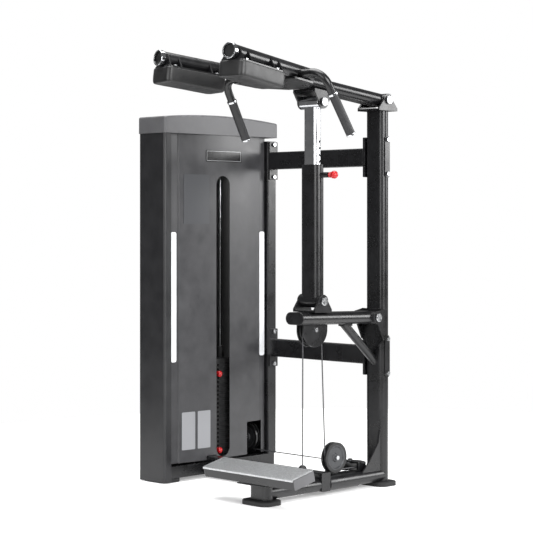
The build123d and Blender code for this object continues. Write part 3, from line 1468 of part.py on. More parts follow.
INSERT_LOW = 509.0
INSERT_HIGH = 1062.0
INSERT_W = 30.0
insert_z = (INSERT_LOW + INSERT_HIGH) / 2
insert_ys = (panel_near + 22.0, panel_far - 18.0)
panel_inserts = panel_plates(
    [(y, insert_z) for y in insert_ys], (INSERT_W, INSERT_HIGH - INSERT_LOW), 9.0, 3.0
)
panel_inserts.label = "panel_inserts"
export_step(panel_inserts, "parts/panel_inserts.step")

BADGE_PLACE = (STACK_Y + 5.0, TOWER_TOP - 99.0)
BADGE_SIZE = (211.0, 50.0)
PLACARD_PLACE = (STACK_Y - 152.0, TOWER_TOP - 287.0)
PLACARD_SIZE = (141.0, 213.0)
NOTICE_Y = STACK_Y - 153.5
NOTICE_Z = 212.0
NOTICE_PITCH = 85.0
NOTICE_SIZE = (71.0, 161.0)
notice_places = [(NOTICE_Y - NOTICE_PITCH / 2, NOTICE_Z), (NOTICE_Y + NOTICE_PITCH / 2, NOTICE_Z)]
badge = panel_plates([BADGE_PLACE], BADGE_SIZE, 5.0, 2.0)
placard = panel_plates([PLACARD_PLACE], PLACARD_SIZE, 4.0, 0.8)
notices = panel_plates(notice_places, NOTICE_SIZE, 4.0, 0.6)
badge.label = "blank_badge"
export_step(badge, "parts/blank_badge.step")
blank_plates = Compound(label="blank_plates", children=[placard, notices])
export_step(blank_plates, "parts/blank_plates.step")

CAP_SHEET = 2.5
CAP_OVER = 6.0
cap_front = TOWER_FRONT + CAP_OVER + 4.0
cap_back = TOWER_BACK - 3.0
cap_near = TOWER_NEAR - 3.0
cap_far = TOWER_FAR + 3.0
cap_low = TOWER_TOP - CAP_LIP
with BuildPart() as tower_cap:
    with BuildSketch(plane_x(cap_back)):
        with BuildLine():
            Polyline(
                (cap_far, CAP_SHOULDER - 6.0),
                (cap_far, cap_low),
                (cap_near, cap_low),
                (cap_near, CAP_SHOULDER),
            )
            ThreePointArc(
                (cap_near, CAP_SHOULDER), (CAP_PEAK_Y, CAP_CROWN), (cap_far, CAP_SHOULDER - 6.0)
            )
        make_face()
    extrude(amount=cap_front - cap_back)
    upright = tower_cap.edges().filter_by(Axis.Z)
    fillet(upright, radius=COVER_CORNER)
    top_edges = tower_cap.faces().sort_by(Axis.Z)[-1].edges()
    fillet(top_edges, radius=8.0)
    offset(amount=-CAP_SHEET, openings=tower_cap.faces().sort_by(Axis.Z)[0])
tower_cap.part.label = "tower_cap"
export_step(tower_cap.part, "parts/tower_cap.step")

# ---------------------------------------------------------------- nodes of several solids
groups = {
    "base_frame": [
        front_base_beam.part,
        rear_base_beam.part,
        front_post.part,
        base_gusset.part,
        base_sleeve.part,
    ],
    "cross_beams": [upper_cross_beam, lower_cross_beam, floor_cross_beam.part],
    "column_brackets": [column_head, swing_bracket.part, backing_strips.part],
    "tread_tray": [tread_tray.part, tread_mount.part],
    "base_brackets": [front_pulley_post.part, side_pulley_bracket.part, cable_anchor.part],
    "tower_frame": [tower_base.part, tower_posts.part, tower_head.part, low_cheek] + top_cheeks,
    "rubber_buffers": [rest_buffer.part, stack_buffers.part],
    "lower_arm_brackets": [lower_clevis, pulley_hanger.part],
    "lower_arm_bolts": [lower_pivot_bolt, moving_axle],
    "upper_arm_brackets": [upper_clevis, yoke_plate.part],
    "pulley_axles": [base_front_axle, base_side_axle] + tower_axles,
    "grip_fittings": [grip_collars, grip_caps],
}
for label, pieces in groups.items():
    export_step(Compound(label=label, children=pieces), f"parts/{label}.step")
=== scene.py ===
import json
import math

import bmesh
import bpy
from bpy.props import FloatProperty, FloatVectorProperty, PointerProperty, StringProperty
from mathutils import Matrix, Vector, noise


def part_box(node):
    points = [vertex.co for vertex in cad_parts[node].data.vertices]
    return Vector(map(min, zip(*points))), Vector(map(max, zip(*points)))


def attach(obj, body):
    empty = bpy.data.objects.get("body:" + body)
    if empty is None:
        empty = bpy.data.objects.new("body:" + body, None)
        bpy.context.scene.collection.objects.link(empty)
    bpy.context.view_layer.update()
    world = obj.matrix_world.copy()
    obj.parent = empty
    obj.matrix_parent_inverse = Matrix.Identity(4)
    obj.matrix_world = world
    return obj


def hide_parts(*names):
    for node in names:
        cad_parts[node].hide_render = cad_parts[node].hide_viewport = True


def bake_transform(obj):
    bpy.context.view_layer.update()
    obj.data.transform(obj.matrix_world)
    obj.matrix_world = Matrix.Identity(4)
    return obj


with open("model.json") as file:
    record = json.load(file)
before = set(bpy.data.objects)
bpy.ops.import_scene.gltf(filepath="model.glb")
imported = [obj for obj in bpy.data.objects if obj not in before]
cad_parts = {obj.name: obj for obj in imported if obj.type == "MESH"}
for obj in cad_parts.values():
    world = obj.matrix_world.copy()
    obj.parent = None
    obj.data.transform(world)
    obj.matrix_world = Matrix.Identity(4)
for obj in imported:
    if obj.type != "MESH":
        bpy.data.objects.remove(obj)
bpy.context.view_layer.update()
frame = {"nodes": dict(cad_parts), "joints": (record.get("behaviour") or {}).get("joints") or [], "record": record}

bl_info = {
    "name": "Standing calf raise machine",
    "version": (1, 0, 0),
    "blender": (4, 5, 0),
    "location": "3D View > Sidebar > Calf raise",
    "description": "Dresses the calf raise machine with its upholstery, small fasteners and finishes",
    "category": "Object",
}

MM = 0.001

# ---------------------------------------------------------------- fixed sizes and colours
PAD_CORNER_STEPS = 6
SHORT_SIDE_STEPS = 5
LONG_SIDE_STEPS = 10
LEAST_CORNER = 2 * MM
LEATHER_TUCK = 0.6 * MM
RIPPLE_SIZE = 38 * MM
RIPPLE_SHARE = 0.6
BADGE_INSET = 4.5 * MM
BADGE_LINE = 1.4 * MM
SENSOR_WIDTH = 36.0
VIEW_DEPTH = 200.0
FLOOR_SIDES = 96
LAMP_TARGET = (-0.3, -0.35, 0.8)

GREY_ABS = ("#4d4d4f", "#59595b")
BLACK_ABS = ("#171718", "#212122")
WHITE_ACRYLIC = ("#e6e7ea", "#f4f5f7")
NOTICE_GREY = "#8c8d90"
PLACARD_GREY = "#3e3f42"
SHAFT_STEEL = "#c8cacd"
WHEEL_NYLON = "#111112"
WHEEL_PLATE = "#4a4b4d"
BADGE_BLACK = "#141415"
BADGE_SILVER = "#a9aaac"


# ---------------------------------------------------------------- colours and nodes
def linear(code):
    """A linear RGBA colour from an sRGB hex value."""
    channels = [int(code[i:i + 2], 16) / 255 for i in (1, 3, 5)]
    return tuple(c / 12.92 if c <= 0.04045 else ((c + 0.055) / 1.055) ** 2.4 for c in channels) + (1.0,)


def add_node(tree, kind, settings=None, values=None, links=None):
    """Adds one node, with its settings, its socket values and the sockets that feed it."""
    node = tree.nodes.new(kind)
    for name, value in (settings or {}).items():
        setattr(node, name, value)
    for name, value in (values or {}).items():
        node.inputs[name].default_value = value
    for name, socket in (links or {}).items():
        tree.links.new(socket, node.inputs[name])
    return node


def maths(tree, operation, *terms):
    """The result of one Math node; each term is a number or a socket."""
    node = add_node(tree, "ShaderNodeMath", {"operation": operation})
    for socket, term in zip(node.inputs, terms):
        if isinstance(term, (int, float)):
            socket.default_value = term
        else:
            tree.links.new(term, socket)
    return node.outputs["Value"]


def new_material(name, values):
    """A material with one Principled shader; returns the material, its tree and the shader."""
    material = bpy.data.materials.new(name)
    material.use_nodes = True
    tree = material.node_tree
    tree.nodes.clear()
    shader = add_node(tree, "ShaderNodeBsdfPrincipled", values=values)
    add_node(tree, "ShaderNodeOutputMaterial", links={"Surface": shader.outputs["BSDF"]})
    return material, tree, shader


def two_colours(tree, share, first, second):
    """The colour that goes from first to second as share goes from 0 to 1; each is a hex value or socket."""
    blend = add_node(tree, "ShaderNodeMix", {"data_type": "RGBA"})
    tree.links.new(share, blend.inputs[0])
    for socket, colour in ((blend.inputs[6], first), (blend.inputs[7], second)):
        if isinstance(colour, str):
            socket.default_value = linear(colour)
        else:
            tree.links.new(colour, socket)
    return blend.outputs[2]


def place_of(tree):
    """The position on the piece, in metres, which moves with the piece."""
    return add_node(tree, "ShaderNodeTexCoord").outputs["Object"]


def vary_roughness(tree, shader, value, rough, span=(0.0, 1.0)):
    """Roughness that goes over the range called rough as value goes over span."""
    ends = {"From Min": span[0], "From Max": span[1], "To Min": rough[0], "To Max": rough[1]}
    spread = add_node(tree, "ShaderNodeMapRange", values=ends, links={"Value": value})
    tree.links.new(spread.outputs["Result"], shader.inputs["Roughness"])


def mottle(tree, shader, place, size, dark, light, rough):
    """Cloudy change of colour and of roughness, with patches of the given size in metres."""
    span = (0.3, 0.7)
    cloud = grain(tree, place, size, 4.0)
    blend = add_node(tree, "ShaderNodeValToRGB", links={"Fac": cloud})
    for stop, position, colour in zip(blend.color_ramp.elements, span, (dark, light)):
        stop.position = position
        stop.color = linear(colour)
    tree.links.new(blend.outputs["Color"], shader.inputs["Base Color"])
    vary_roughness(tree, shader, cloud, rough, span)


def relief(tree, shader, height, depth, edge=0.0):
    """Bump of the given depth in metres, over edges that are softened by the radius called edge."""
    links = {"Height": height}
    if edge:
        soft = add_node(tree, "ShaderNodeBevel", {"samples": 4}, {"Radius": edge})
        links["Normal"] = soft.outputs["Normal"]
    bump = add_node(tree, "ShaderNodeBump", values={"Distance": depth, "Strength": 1.0}, links=links)
    tree.links.new(bump.outputs["Normal"], shader.inputs["Normal"])


def grain(tree, place, size, detail=2.0):
    """Even grain of the given size in metres."""
    values = {"Scale": 1 / size, "Detail": detail}
    return add_node(tree, "ShaderNodeTexNoise", values=values, links={"Vector": place}).outputs["Fac"]


# ---------------------------------------------------------------- materials
def finished(name, values, clouds, pores):
    """A material with cloudy colour and an even grain.

    clouds is the patch size, the two colours and the range of roughness; pores is the grain's size,
    its detail, its depth and the radius that softens the edges.
    """
    material, tree, shader = new_material(name, values)
    place = place_of(tree)
    mottle(tree, shader, place, *clouds)
    size, detail, depth, edge = pores
    relief(tree, shader, grain(tree, place, size, detail), depth, edge)
    return material


def powder_coated_steel(name, dark, light, rough):
    """Powder coat is sprayed dry and baked, so it has a faint orange peel and soft highlights."""
    clouds = (60 * MM, dark, light, rough)
    # The real peel is 0.5 mm across; it is drawn at 1.6 mm, so that it shows.
    return finished(name, {"Specular IOR Level": 0.5}, clouds, (1.6 * MM, 2.0, 0.02 * MM, 1.6 * MM))


def moulded_abs(name, dark, light, rough):
    """Moulded ABS has a fine spark-eroded grain and a broad, dull highlight."""
    clouds = (90 * MM, dark, light, rough)
    return finished(name, {"IOR": 1.54}, clouds, (1.2 * MM, 3.0, 0.05 * MM, 2.0 * MM))


def gloss_acrylic(name, dark, light):
    """Cast acrylic is smooth and bright, with a sharp highlight."""
    clouds = (120 * MM, dark, light, (0.12, 0.2))
    return finished(name, {"IOR": 1.49}, clouds, (20 * MM, 2.0, 0.01 * MM, 1.0 * MM))


def chromed_steel(name):
    """Hard chrome is a mirror with a slightly cold tone and a little haze from wiping."""
    clouds = (35 * MM, "#c9cbce", "#dcdddf", (0.08, 0.17))
    return finished(name, {"Metallic": 1.0}, clouds, (9 * MM, 2.0, 0.006 * MM, 1.0 * MM))


def zinc_plated_steel(name):
    """Zinc plate on a forged bolt is bright and slightly cloudy."""
    clouds = (6 * MM, "#b4b6b8", "#d6d7d9", (0.2, 0.34))
    return finished(name, {"Metallic": 1.0}, clouds, (1.5 * MM, 2.0, 0.02 * MM, 0.8 * MM))


def natural_rubber(name):
    """Black moulded rubber is matt, with dust in its pores."""
    clouds = (25 * MM, "#161617", "#232324", (0.62, 0.8))
    return finished(name, {"IOR": 1.52}, clouds, (1.8 * MM, 4.0, 0.12 * MM, 2.0 * MM))


def grip_rubber(name):
    """Grip rubber is satin and finely pored, where hands polish it."""
    clouds = (30 * MM, "#19191a", "#242426", (0.42, 0.55))
    return finished(name, {"IOR": 1.52}, clouds, (1.3 * MM, 3.0, 0.08 * MM, 1.0 * MM))


def cast_iron(name):
    """Painted cast iron keeps the sand mould's rough skin."""
    clouds = (18 * MM, "#131314", "#222223", (0.5, 0.66))
    return finished(name, {"Metallic": 0.2}, clouds, (2.2 * MM, 5.0, 0.15 * MM, 1.5 * MM))


def pvc_leather(name):
    """PVC leather is embossed with a pebble about 1 mm across and shines on its crowns."""
    values = {"IOR": 1.53, "Sheen Weight": 0.05, "Coat Weight": 0.12, "Coat Roughness": 0.35}
    material, tree, shader = new_material(name, values)
    place = place_of(tree)
    mottle(tree, shader, place, 45 * MM, "#0e0e0f", "#171718", (0.4, 0.52))
    # The pebble is drawn 1.8 mm across, so that it shows.
    scale = {"Scale": 1 / (1.8 * MM)}
    pebble = add_node(tree, "ShaderNodeTexVoronoi", {"feature": "SMOOTH_F1"}, scale, {"Vector": place})
    creases = grain(tree, place, 14 * MM, 5.0)
    height = maths(tree, "MULTIPLY_ADD", creases, 1.5, pebble.outputs["Distance"])
    relief(tree, shader, height, 0.12 * MM)
    return material


def tread_aluminium(name):
    """Rolled aluminium tread has a small raised diamond, and its crowns are rubbed bright."""
    material, tree, shader = new_material(name, {"Metallic": 0.85})
    place = place_of(tree)
    mottle(tree, shader, place, 4 * MM, "#a3a5a7", "#cfd0d1", (0.32, 0.5))
    turn = {"Rotation": (0.0, 0.0, math.radians(45)), "Scale": (1.0, 1.0, 0.2)}
    diamonds = add_node(tree, "ShaderNodeMapping", values=turn, links={"Vector": place}).outputs["Vector"]
    scale = {"Scale": 1 / (11 * MM), "Randomness": 0.0}
    pattern = add_node(tree, "ShaderNodeTexVoronoi", {"distance": "CHEBYCHEV"}, scale, {"Vector": diamonds})
    relief(tree, shader, pattern.outputs["Distance"], 0.6 * MM, edge=1.2 * MM)
    return material


def coated_cable(name):
    """Steel cable in a clear-black nylon coat: the strands show through as slanting ridges."""
    material, tree, shader = new_material(name, {"IOR": 1.5, "Coat Weight": 0.3})
    place = place_of(tree)
    mottle(tree, shader, place, 10 * MM, "#2a2a2c", "#454548", (0.35, 0.5))
    scale = {"Scale": 1 / (9 * MM)}
    lay = add_node(tree, "ShaderNodeTexWave", {"bands_direction": "DIAGONAL"}, scale, {"Vector": place})
    relief(tree, shader, lay.outputs["Fac"], 0.15 * MM)
    return material


def knob_on_steel(name, start_x, knob_dark, knob_light):
    """A glossy ABS knob from start_x outward, on a turned steel shaft."""
    material, tree, shader = new_material(name, {"IOR": 1.54})
    place = place_of(tree)
    split = add_node(tree, "ShaderNodeSeparateXYZ", links={"Vector": place})
    is_knob = maths(tree, "GREATER_THAN", split.outputs["X"], start_x)
    cloud = grain(tree, place, 12 * MM)
    red = two_colours(tree, cloud, knob_dark, knob_light)
    tree.links.new(two_colours(tree, is_knob, SHAFT_STEEL, red), shader.inputs["Base Color"])
    tree.links.new(maths(tree, "SUBTRACT", 1.0, is_knob), shader.inputs["Metallic"])
    vary_roughness(tree, shader, cloud, (0.16, 0.3))
    relief(tree, shader, cloud, 0.02 * MM, edge=1.0 * MM)
    return material


def turned_pulley(name, centre, axis, plate_radius):
    """A glass-filled nylon wheel with a turned cover plate on each face, out to plate_radius."""
    material, tree, shader = new_material(name, {"IOR": 1.53})
    place = place_of(tree)
    arm = add_node(tree, "ShaderNodeVectorMath", {"operation": "SUBTRACT"}, {1: centre}, {0: place})
    across = add_node(
        tree, "ShaderNodeVectorMath", {"operation": "CROSS_PRODUCT"}, {1: axis}, {0: arm.outputs["Vector"]}
    )
    radius = add_node(
        tree, "ShaderNodeVectorMath", {"operation": "LENGTH"}, links={0: across.outputs["Vector"]}
    ).outputs["Value"]
    on_plate = maths(tree, "LESS_THAN", radius, plate_radius)
    tree.links.new(two_colours(tree, on_plate, WHEEL_NYLON, WHEEL_PLATE), shader.inputs["Base Color"])
    tree.links.new(maths(tree, "MULTIPLY", on_plate, 0.6), shader.inputs["Metallic"])
    rings = maths(tree, "SINE", maths(tree, "MULTIPLY", radius, 1 / (0.9 * MM)))
    vary_roughness(tree, shader, rings, (0.34, 0.46), (-1.0, 1.0))
    relief(tree, shader, rings, 0.01 * MM, edge=1.0 * MM)
    return material


def bare_plates(name, lower, upper, split_z):
    """Satin vinyl plates with nothing on them: one colour up to split_z, and another above it."""
    material, tree, shader = new_material(name, {"IOR": 1.5})
    place = place_of(tree)
    split = add_node(tree, "ShaderNodeSeparateXYZ", links={"Vector": place})
    is_upper = maths(tree, "GREATER_THAN", split.outputs["Z"], split_z)
    tree.links.new(two_colours(tree, is_upper, lower, upper), shader.inputs["Base Color"])
    vary_roughness(tree, shader, grain(tree, place, 8 * MM), (0.3, 0.45))
    return material


def framed_badge(name, box, inset, line):
    """A bare black acrylic badge with a thin pale line round it, inset from its edge."""
    material, tree, shader = new_material(name, {"IOR": 1.49})
    place = place_of(tree)
    split = add_node(tree, "ShaderNodeSeparateXYZ", links={"Vector": place})
    past_edge = []
    for axis, low, high in zip("YZ", box[0][1:], box[1][1:]):
        offset = maths(tree, "SUBTRACT", split.outputs[axis], (low + high) / 2)
        past_edge.append(maths(tree, "SUBTRACT", maths(tree, "ABSOLUTE", offset), (high - low) / 2))
    on_line = maths(tree, "COMPARE", maths(tree, "MAXIMUM", *past_edge), -inset, line / 2)
    tree.links.new(two_colours(tree, on_line, BADGE_BLACK, BADGE_SILVER), shader.inputs["Base Color"])
    vary_roughness(tree, shader, grain(tree, place, 9 * MM), (0.16, 0.28))
    relief(tree, shader, grain(tree, place, 14 * MM), 0.01 * MM, edge=0.8 * MM)
    return material


# ---------------------------------------------------------------- settings
class UpholsterySettings(bpy.types.PropertyGroup):
    """The shoulder pads and where they hang under their tubes."""

    width: FloatProperty(name="Width", description="Across the pad", default=0.124, unit="LENGTH")
    length: FloatProperty(name="Length", description="Along the pad's tube", default=0.278, unit="LENGTH")
    thickness: FloatProperty(name="Thickness", description="Board to crown", default=0.064, unit="LENGTH")
    corner: FloatProperty(
        name="Corner", description="Radius of the plan's corners", default=0.022, unit="LENGTH"
    )
    crown: FloatProperty(
        name="Crown", description="Rise of the underside's middle", default=0.004, unit="LENGTH"
    )
    start: FloatProperty(
        name="Start", description="From the tube's front end to the pad", default=0.012, unit="LENGTH"
    )
    drop: FloatProperty(
        name="Drop", description="From the tube's axis to the pad's board", default=0.0345, unit="LENGTH"
    )
    spread: FloatProperty(
        name="Spread", description="From the middle to a tube's end", default=0.198, unit="LENGTH"
    )
    reach: FloatProperty(
        name="Reach", description="From the top pivot to a tube's end", default=1.058, unit="LENGTH"
    )
    rise: FloatProperty(
        name="Rise", description="Tube's axis over the arm's axis", default=0.0031, unit="LENGTH"
    )
    splay: FloatProperty(
        name="Splay", description="Turn of a tube from the arm", default=math.radians(8.6), unit="ROTATION"
    )
    tilt: FloatProperty(
        name="Tilt", description="Rise of the arm from level", default=math.radians(6.4), unit="ROTATION"
    )
    leather: StringProperty(name="Leather", description="Name of the cover's material", default="pvc_leather")


class FinishSettings(bpy.types.PropertyGroup):
    """Colours of the painted and moulded parts, and where two-colour parts change."""

    frame_dark: StringProperty(name="Frame, dark", description="Darker frame colour", default="#101011")
    frame_light: StringProperty(name="Frame, light", description="Lighter frame colour", default="#18181a")
    # The side covers and the front panel are one grey sheet. The cover colours are its grey with painted shade,
    # for the sides away from the key lamp, and the panel colours are its grey with painted light, for the face
    # toward it.
    shaded_cover_dark: StringProperty(name="Cover, dark", description="Darker cover colour", default="#1b1b1d")
    shaded_cover_light: StringProperty(name="Cover, light", description="Lighter cover colour", default="#232325")
    lit_panel_dark: StringProperty(name="Panel, dark", description="Darker panel colour", default="#363638")
    lit_panel_light: StringProperty(name="Panel, light", description="Lighter panel colour", default="#404042")
    cap_dark: StringProperty(name="Cap, dark", description="Darker cap colour", default="#515153")
    cap_light: StringProperty(name="Cap, light", description="Lighter cap colour", default="#5d5d5f")
    knob_dark: StringProperty(name="Knob, dark", description="Darker knob colour", default="#a80f14")
    knob_light: StringProperty(name="Knob, light", description="Lighter knob colour", default="#c21a1f")
    knob_length: FloatProperty(
        name="Knob length", description="The red part of a pin", default=0.041, unit="LENGTH"
    )
    plate_split: FloatProperty(
        name="Plate split", description="Height between notices and placard", default=0.6, unit="LENGTH"
    )
    hub_plate: FloatProperty(
        name="Hub plate", description="Radius of a pulley's face plate", default=0.050, unit="LENGTH"
    )


class StageSettings(bpy.types.PropertyGroup):
    """The camera, the floor and the lamps."""

    eye: FloatVectorProperty(
        name="Eye",
        description="Place of the camera",
        default=(4.5619, -5.1977, 1.107),
        subtype="TRANSLATION",
    )
    heading: FloatProperty(
        name="Heading",
        description="Turn of the camera from +Y toward -X",
        default=math.radians(45.15),
        unit="ROTATION",
    )
    lens: FloatProperty(name="Lens", description="Focal length in millimetres", default=110.6)
    shift: FloatProperty(name="Shift", description="Vertical shift of the frame", default=-0.0844)
    key: FloatProperty(name="Key", description="Power of the lamp at the right, in watts", default=300.0)
    fill: FloatProperty(name="Fill", description="Power of the lamp at the front, in watts", default=150.0)
    top: FloatProperty(name="Top", description="Power of the lamp above, in watts", default=290.0)
    back: FloatProperty(name="Back", description="Power of the lamp behind, in watts", default=170.0)
    floor_radius: FloatProperty(
        name="Floor radius", description="Size of the round floor", default=2.8, unit="LENGTH"
    )
    floor_glow: FloatProperty(name="Floor glow", description="Light that the floor gives off", default=0.3)
    sky: FloatProperty(name="Sky", description="Light from all round", default=0.16)
    backdrop: FloatProperty(name="Backdrop", description="Brightness behind the machine", default=1.0)


# ---------------------------------------------------------------- meshes
def mesh_object(name, bm, material, smooth=True):
    """A finished mesh object in the scene, from a bmesh in the machine's own frame."""
    bmesh.ops.recalc_face_normals(bm, faces=bm.faces)
    mesh = bpy.data.meshes.new(name)
    bm.to_mesh(mesh)
    bm.free()
    for face in mesh.polygons:
        face.use_smooth = smooth
    mesh.materials.append(material)
    piece = bpy.data.objects.new(name, mesh)
    bpy.context.scene.collection.objects.link(piece)
    return piece


def rounded_outline(half_width, half_length, corner, steps):
    """Points round a rectangle with round corners, as (x, y), with steps points in each corner."""
    signs = ((1, 1), (-1, 1), (-1, -1), (1, -1))
    centres = [Vector((sx * (half_width - corner), sy * (half_length - corner))) for sx, sy in signs]
    points = []
    for quarter, centre in enumerate(centres):
        for step in range(steps + 1):
            angle = math.pi / 2 * (quarter + step / steps)
            arm = corner * Vector((math.cos(angle), math.sin(angle)))
            points.append(centre + arm)
        goal = centres[(quarter + 1) % 4] + arm
        sides = LONG_SIDE_STEPS if quarter % 2 else SHORT_SIDE_STEPS
        points += [points[-1].lerp(goal, i / sides) for i in range(1, sides)]
    return points


def pad_profile(thickness, crown):
    """The pad's section from its board to the middle of its crown, as (inset, z)."""
    low = -thickness
    return [
        (9 * MM, 0.0),
        (3.5 * MM, 0.0),
        (1.6 * MM, -1.6 * MM),
        (1.0 * MM, -5 * MM),
        (0.4 * MM, low * 0.35),
        (0.3 * MM, low * 0.6),
        (0.9 * MM, low + 14 * MM),
        (1.8 * MM, low + 9.4 * MM),
        (3.0 * MM, low + 8.4 * MM),
        (2.6 * MM, low + 7.2 * MM),
        (4.4 * MM, low + 4.2 * MM),
        (8.0 * MM, low + 1.8 * MM + crown / 2),
        (14 * MM, low + crown * 0.6),
        (26 * MM, low + crown * 0.25),
        (42 * MM, low + crown * 0.05),
        (56 * MM, low),
    ]


def shoulder_pad(name, settings, side, material):
    """One pad: tucked under its board, full at the sides, with a sewn seam and a soft crown."""
    pivot = joint_named("upper_swing")["pos_m"]
    place = Matrix.Translation(pivot) @ Matrix.Rotation(-settings.tilt, 4, "X")
    place = place @ Matrix.Translation((side * settings.spread, -settings.reach, settings.rise))
    place = place @ Matrix.Rotation(side * settings.splay, 4, "Z")
    middle = Vector((0, settings.start + settings.length / 2, -settings.drop))
    bm = bmesh.new()
    rings = []
    for inset, z in pad_profile(settings.thickness, settings.crown):
        half_width = settings.width / 2 - inset
        half_length = settings.length / 2 - inset
        corner = min(max(settings.corner - inset * 0.5, LEAST_CORNER), half_width * 0.98)
        ring = []
        for point in rounded_outline(half_width, half_length, corner, PAD_CORNER_STEPS):
            local = middle + Vector((point.x, point.y, z))
            # Hand-pulled leather is never quite flat.
            ripple = noise.noise(local / RIPPLE_SIZE + Vector((side * 7.0, 0, 0))) * 0.9 * MM
            outward = Vector((point.x, point.y * 0.4, z)).normalized()
            ring.append(bm.verts.new(place @ (local - outward * (LEATHER_TUCK - ripple * RIPPLE_SHARE))))
        rings.append(ring)
    for low, high in zip(rings, rings[1:]):
        for i, corner_low in enumerate(low):
            following = (i + 1) % len(low)
            bm.faces.new((corner_low, low[following], high[following], high[i]))
    bm.faces.new(rings[0])
    bm.faces.new(rings[-1])
    piece = mesh_object(name, bm, material)
    rounder = piece.modifiers.new("rounder", "SUBSURF")
    rounder.levels = 1
    rounder.render_levels = 1
    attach(piece, "upper_arm")
    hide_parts(f"{'left' if side < 0 else 'right'}_shoulder_pad")
    return piece


def running_cable(node, material):
    """Stands for a cable node with one end that moves: a copy of its mesh in the given finish, with the node
    hidden.
    """
    cable = frame["nodes"][node]
    piece = bpy.data.objects.new(f"{node}_run", cable.data.copy())
    piece.matrix_world = cable.matrix_world.copy()
    bpy.context.scene.collection.objects.link(piece)
    piece.data.materials.clear()
    piece.data.materials.append(material)
    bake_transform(piece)
    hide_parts(node)
    return piece


def dress(material, *nodes):
    """Gives CAD nodes their finish."""
    for node in nodes:
        mesh = frame["nodes"][node].data
        mesh.materials.clear()
        mesh.materials.append(material)


def nodes_in(slot):
    """The nodes whose finish comes from one of the record's slots."""
    return [part["node"] for part in frame["record"]["subparts"] if part["material_slot"] == slot]


def joint_named(name):
    """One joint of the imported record."""
    return next(joint for joint in frame["joints"] if joint["name"] == name)


# ---------------------------------------------------------------- operators
class OBJECT_OT_calf_steel(bpy.types.Operator):
    """Finishes the painted frame, the sheet covers, the tread, the chrome, the bolts and the iron"""

    bl_idname = "object.calf_steel"
    bl_label = "Finish the metal parts"

    def execute(self, context):
        finish = context.scene.calf_finish
        frame_nodes = nodes_in("black_frame")
        coats = (
            ("powder_coated_steel", finish.frame_dark, finish.frame_light, (0.24, 0.34), frame_nodes),
            # One grey sheet in two copies: a darker one with painted shade for the side covers, and a lighter one
            # with painted light for the front panel.
            ("cover_steel_painted_shade", finish.shaded_cover_dark, finish.shaded_cover_light, (0.34, 0.42), ["tower_covers"]),
            ("panel_steel_painted_light", finish.lit_panel_dark, finish.lit_panel_light, (0.3, 0.38), ["tower_panel"]),
        )
        for name, dark, light, rough, nodes in coats:
            dress(powder_coated_steel(name, dark, light, rough), *nodes)
        dress(tread_aluminium("tread_aluminium"), *nodes_in("tread"))
        dress(chromed_steel("chromed_steel"), *nodes_in("chrome"))
        dress(zinc_plated_steel("zinc_plated_steel"), *nodes_in("bright_bolts"))
        dress(cast_iron("cast_iron"), *nodes_in("iron_plates"))
        return {"FINISHED"}


class OBJECT_OT_calf_plastic(bpy.types.Operator):
    """Finishes the moulded caps, the inserts, the plates, the knobs, the rubber and the grips"""

    bl_idname = "object.calf_plastic"
    bl_label = "Finish the plastic parts"

    def execute(self, context):
        finish = context.scene.calf_finish
        cap = (finish.cap_dark, finish.cap_light)
        dress(moulded_abs("moulded_abs", *cap, (0.4, 0.5)), *nodes_in("cap_plastic"))
        dress(moulded_abs("moulded_abs_grey", *GREY_ABS, (0.4, 0.5)), *nodes_in("end_caps"))
        dress(moulded_abs("moulded_abs_black", *BLACK_ABS, (0.35, 0.48)), *nodes_in("black_plastic"))
        dress(gloss_acrylic("gloss_acrylic", *WHITE_ACRYLIC), *nodes_in("white_inserts"))
        badge = framed_badge("badge_acrylic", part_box("blank_badge"), BADGE_INSET, BADGE_LINE)
        dress(badge, *nodes_in("badge"))
        plates = bare_plates("satin_vinyl", NOTICE_GREY, PLACARD_GREY, finish.plate_split)
        dress(plates, *nodes_in("notice"))
        for node in nodes_in("red_plastic"):
            knob_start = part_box(node)[1][0] - finish.knob_length
            dress(knob_on_steel(f"abs_{node}", knob_start, finish.knob_dark, finish.knob_light), node)
        dress(natural_rubber("natural_rubber"), *nodes_in("rubber"))
        dress(grip_rubber("grip_rubber"), *nodes_in("foam_grips"))
        return {"FINISHED"}


class OBJECT_OT_calf_pulleys(bpy.types.Operator):
    """Finishes each nylon pulley with the turned plate on its faces"""

    bl_idname = "object.calf_pulleys"
    bl_label = "Finish the pulleys"

    def execute(self, context):
        wheels = {
            "moving_pulley": "arm_pulley_spin",
            "base_front_pulley": "front_pulley_spin",
            "base_side_pulley": "side_pulley_spin",
            "tower_low_pulley": "low_pulley_spin",
            "top_rear_pulley": "rear_top_pulley_spin",
            "top_front_pulley": "front_top_pulley_spin",
        }
        plate_radius = context.scene.calf_finish.hub_plate
        for node, name in wheels.items():
            joint = joint_named(name)
            axis = Vector(joint["axis"]).normalized()
            dress(turned_pulley(f"nylon_{node}", joint["pos_m"], axis, plate_radius), node)
        return {"FINISHED"}


class OBJECT_OT_calf_pads(bpy.types.Operator):
    """Adds the two upholstered shoulder pads"""

    bl_idname = "object.calf_pads"
    bl_label = "Add the shoulder pads"

    def execute(self, context):
        settings = context.scene.calf_upholstery
        leather = pvc_leather(settings.leather)
        for side, name in ((-1, "pad_left_cushion"), (1, "pad_right_cushion")):
            shoulder_pad(name, settings, side, leather)
        return {"FINISHED"}


class OBJECT_OT_calf_cables(bpy.types.Operator):
    """Finishes the cables, and adds copies of the two runs that have one moving end"""

    bl_idname = "object.calf_cables"
    bl_label = "Add the cables"

    def execute(self, context):
        coat = coated_cable("coated_cable")
        dress(coat, *nodes_in("steel_cable"))
        running_cable("loop_cable", coat)
        running_cable("stack_cable", coat)
        return {"FINISHED"}


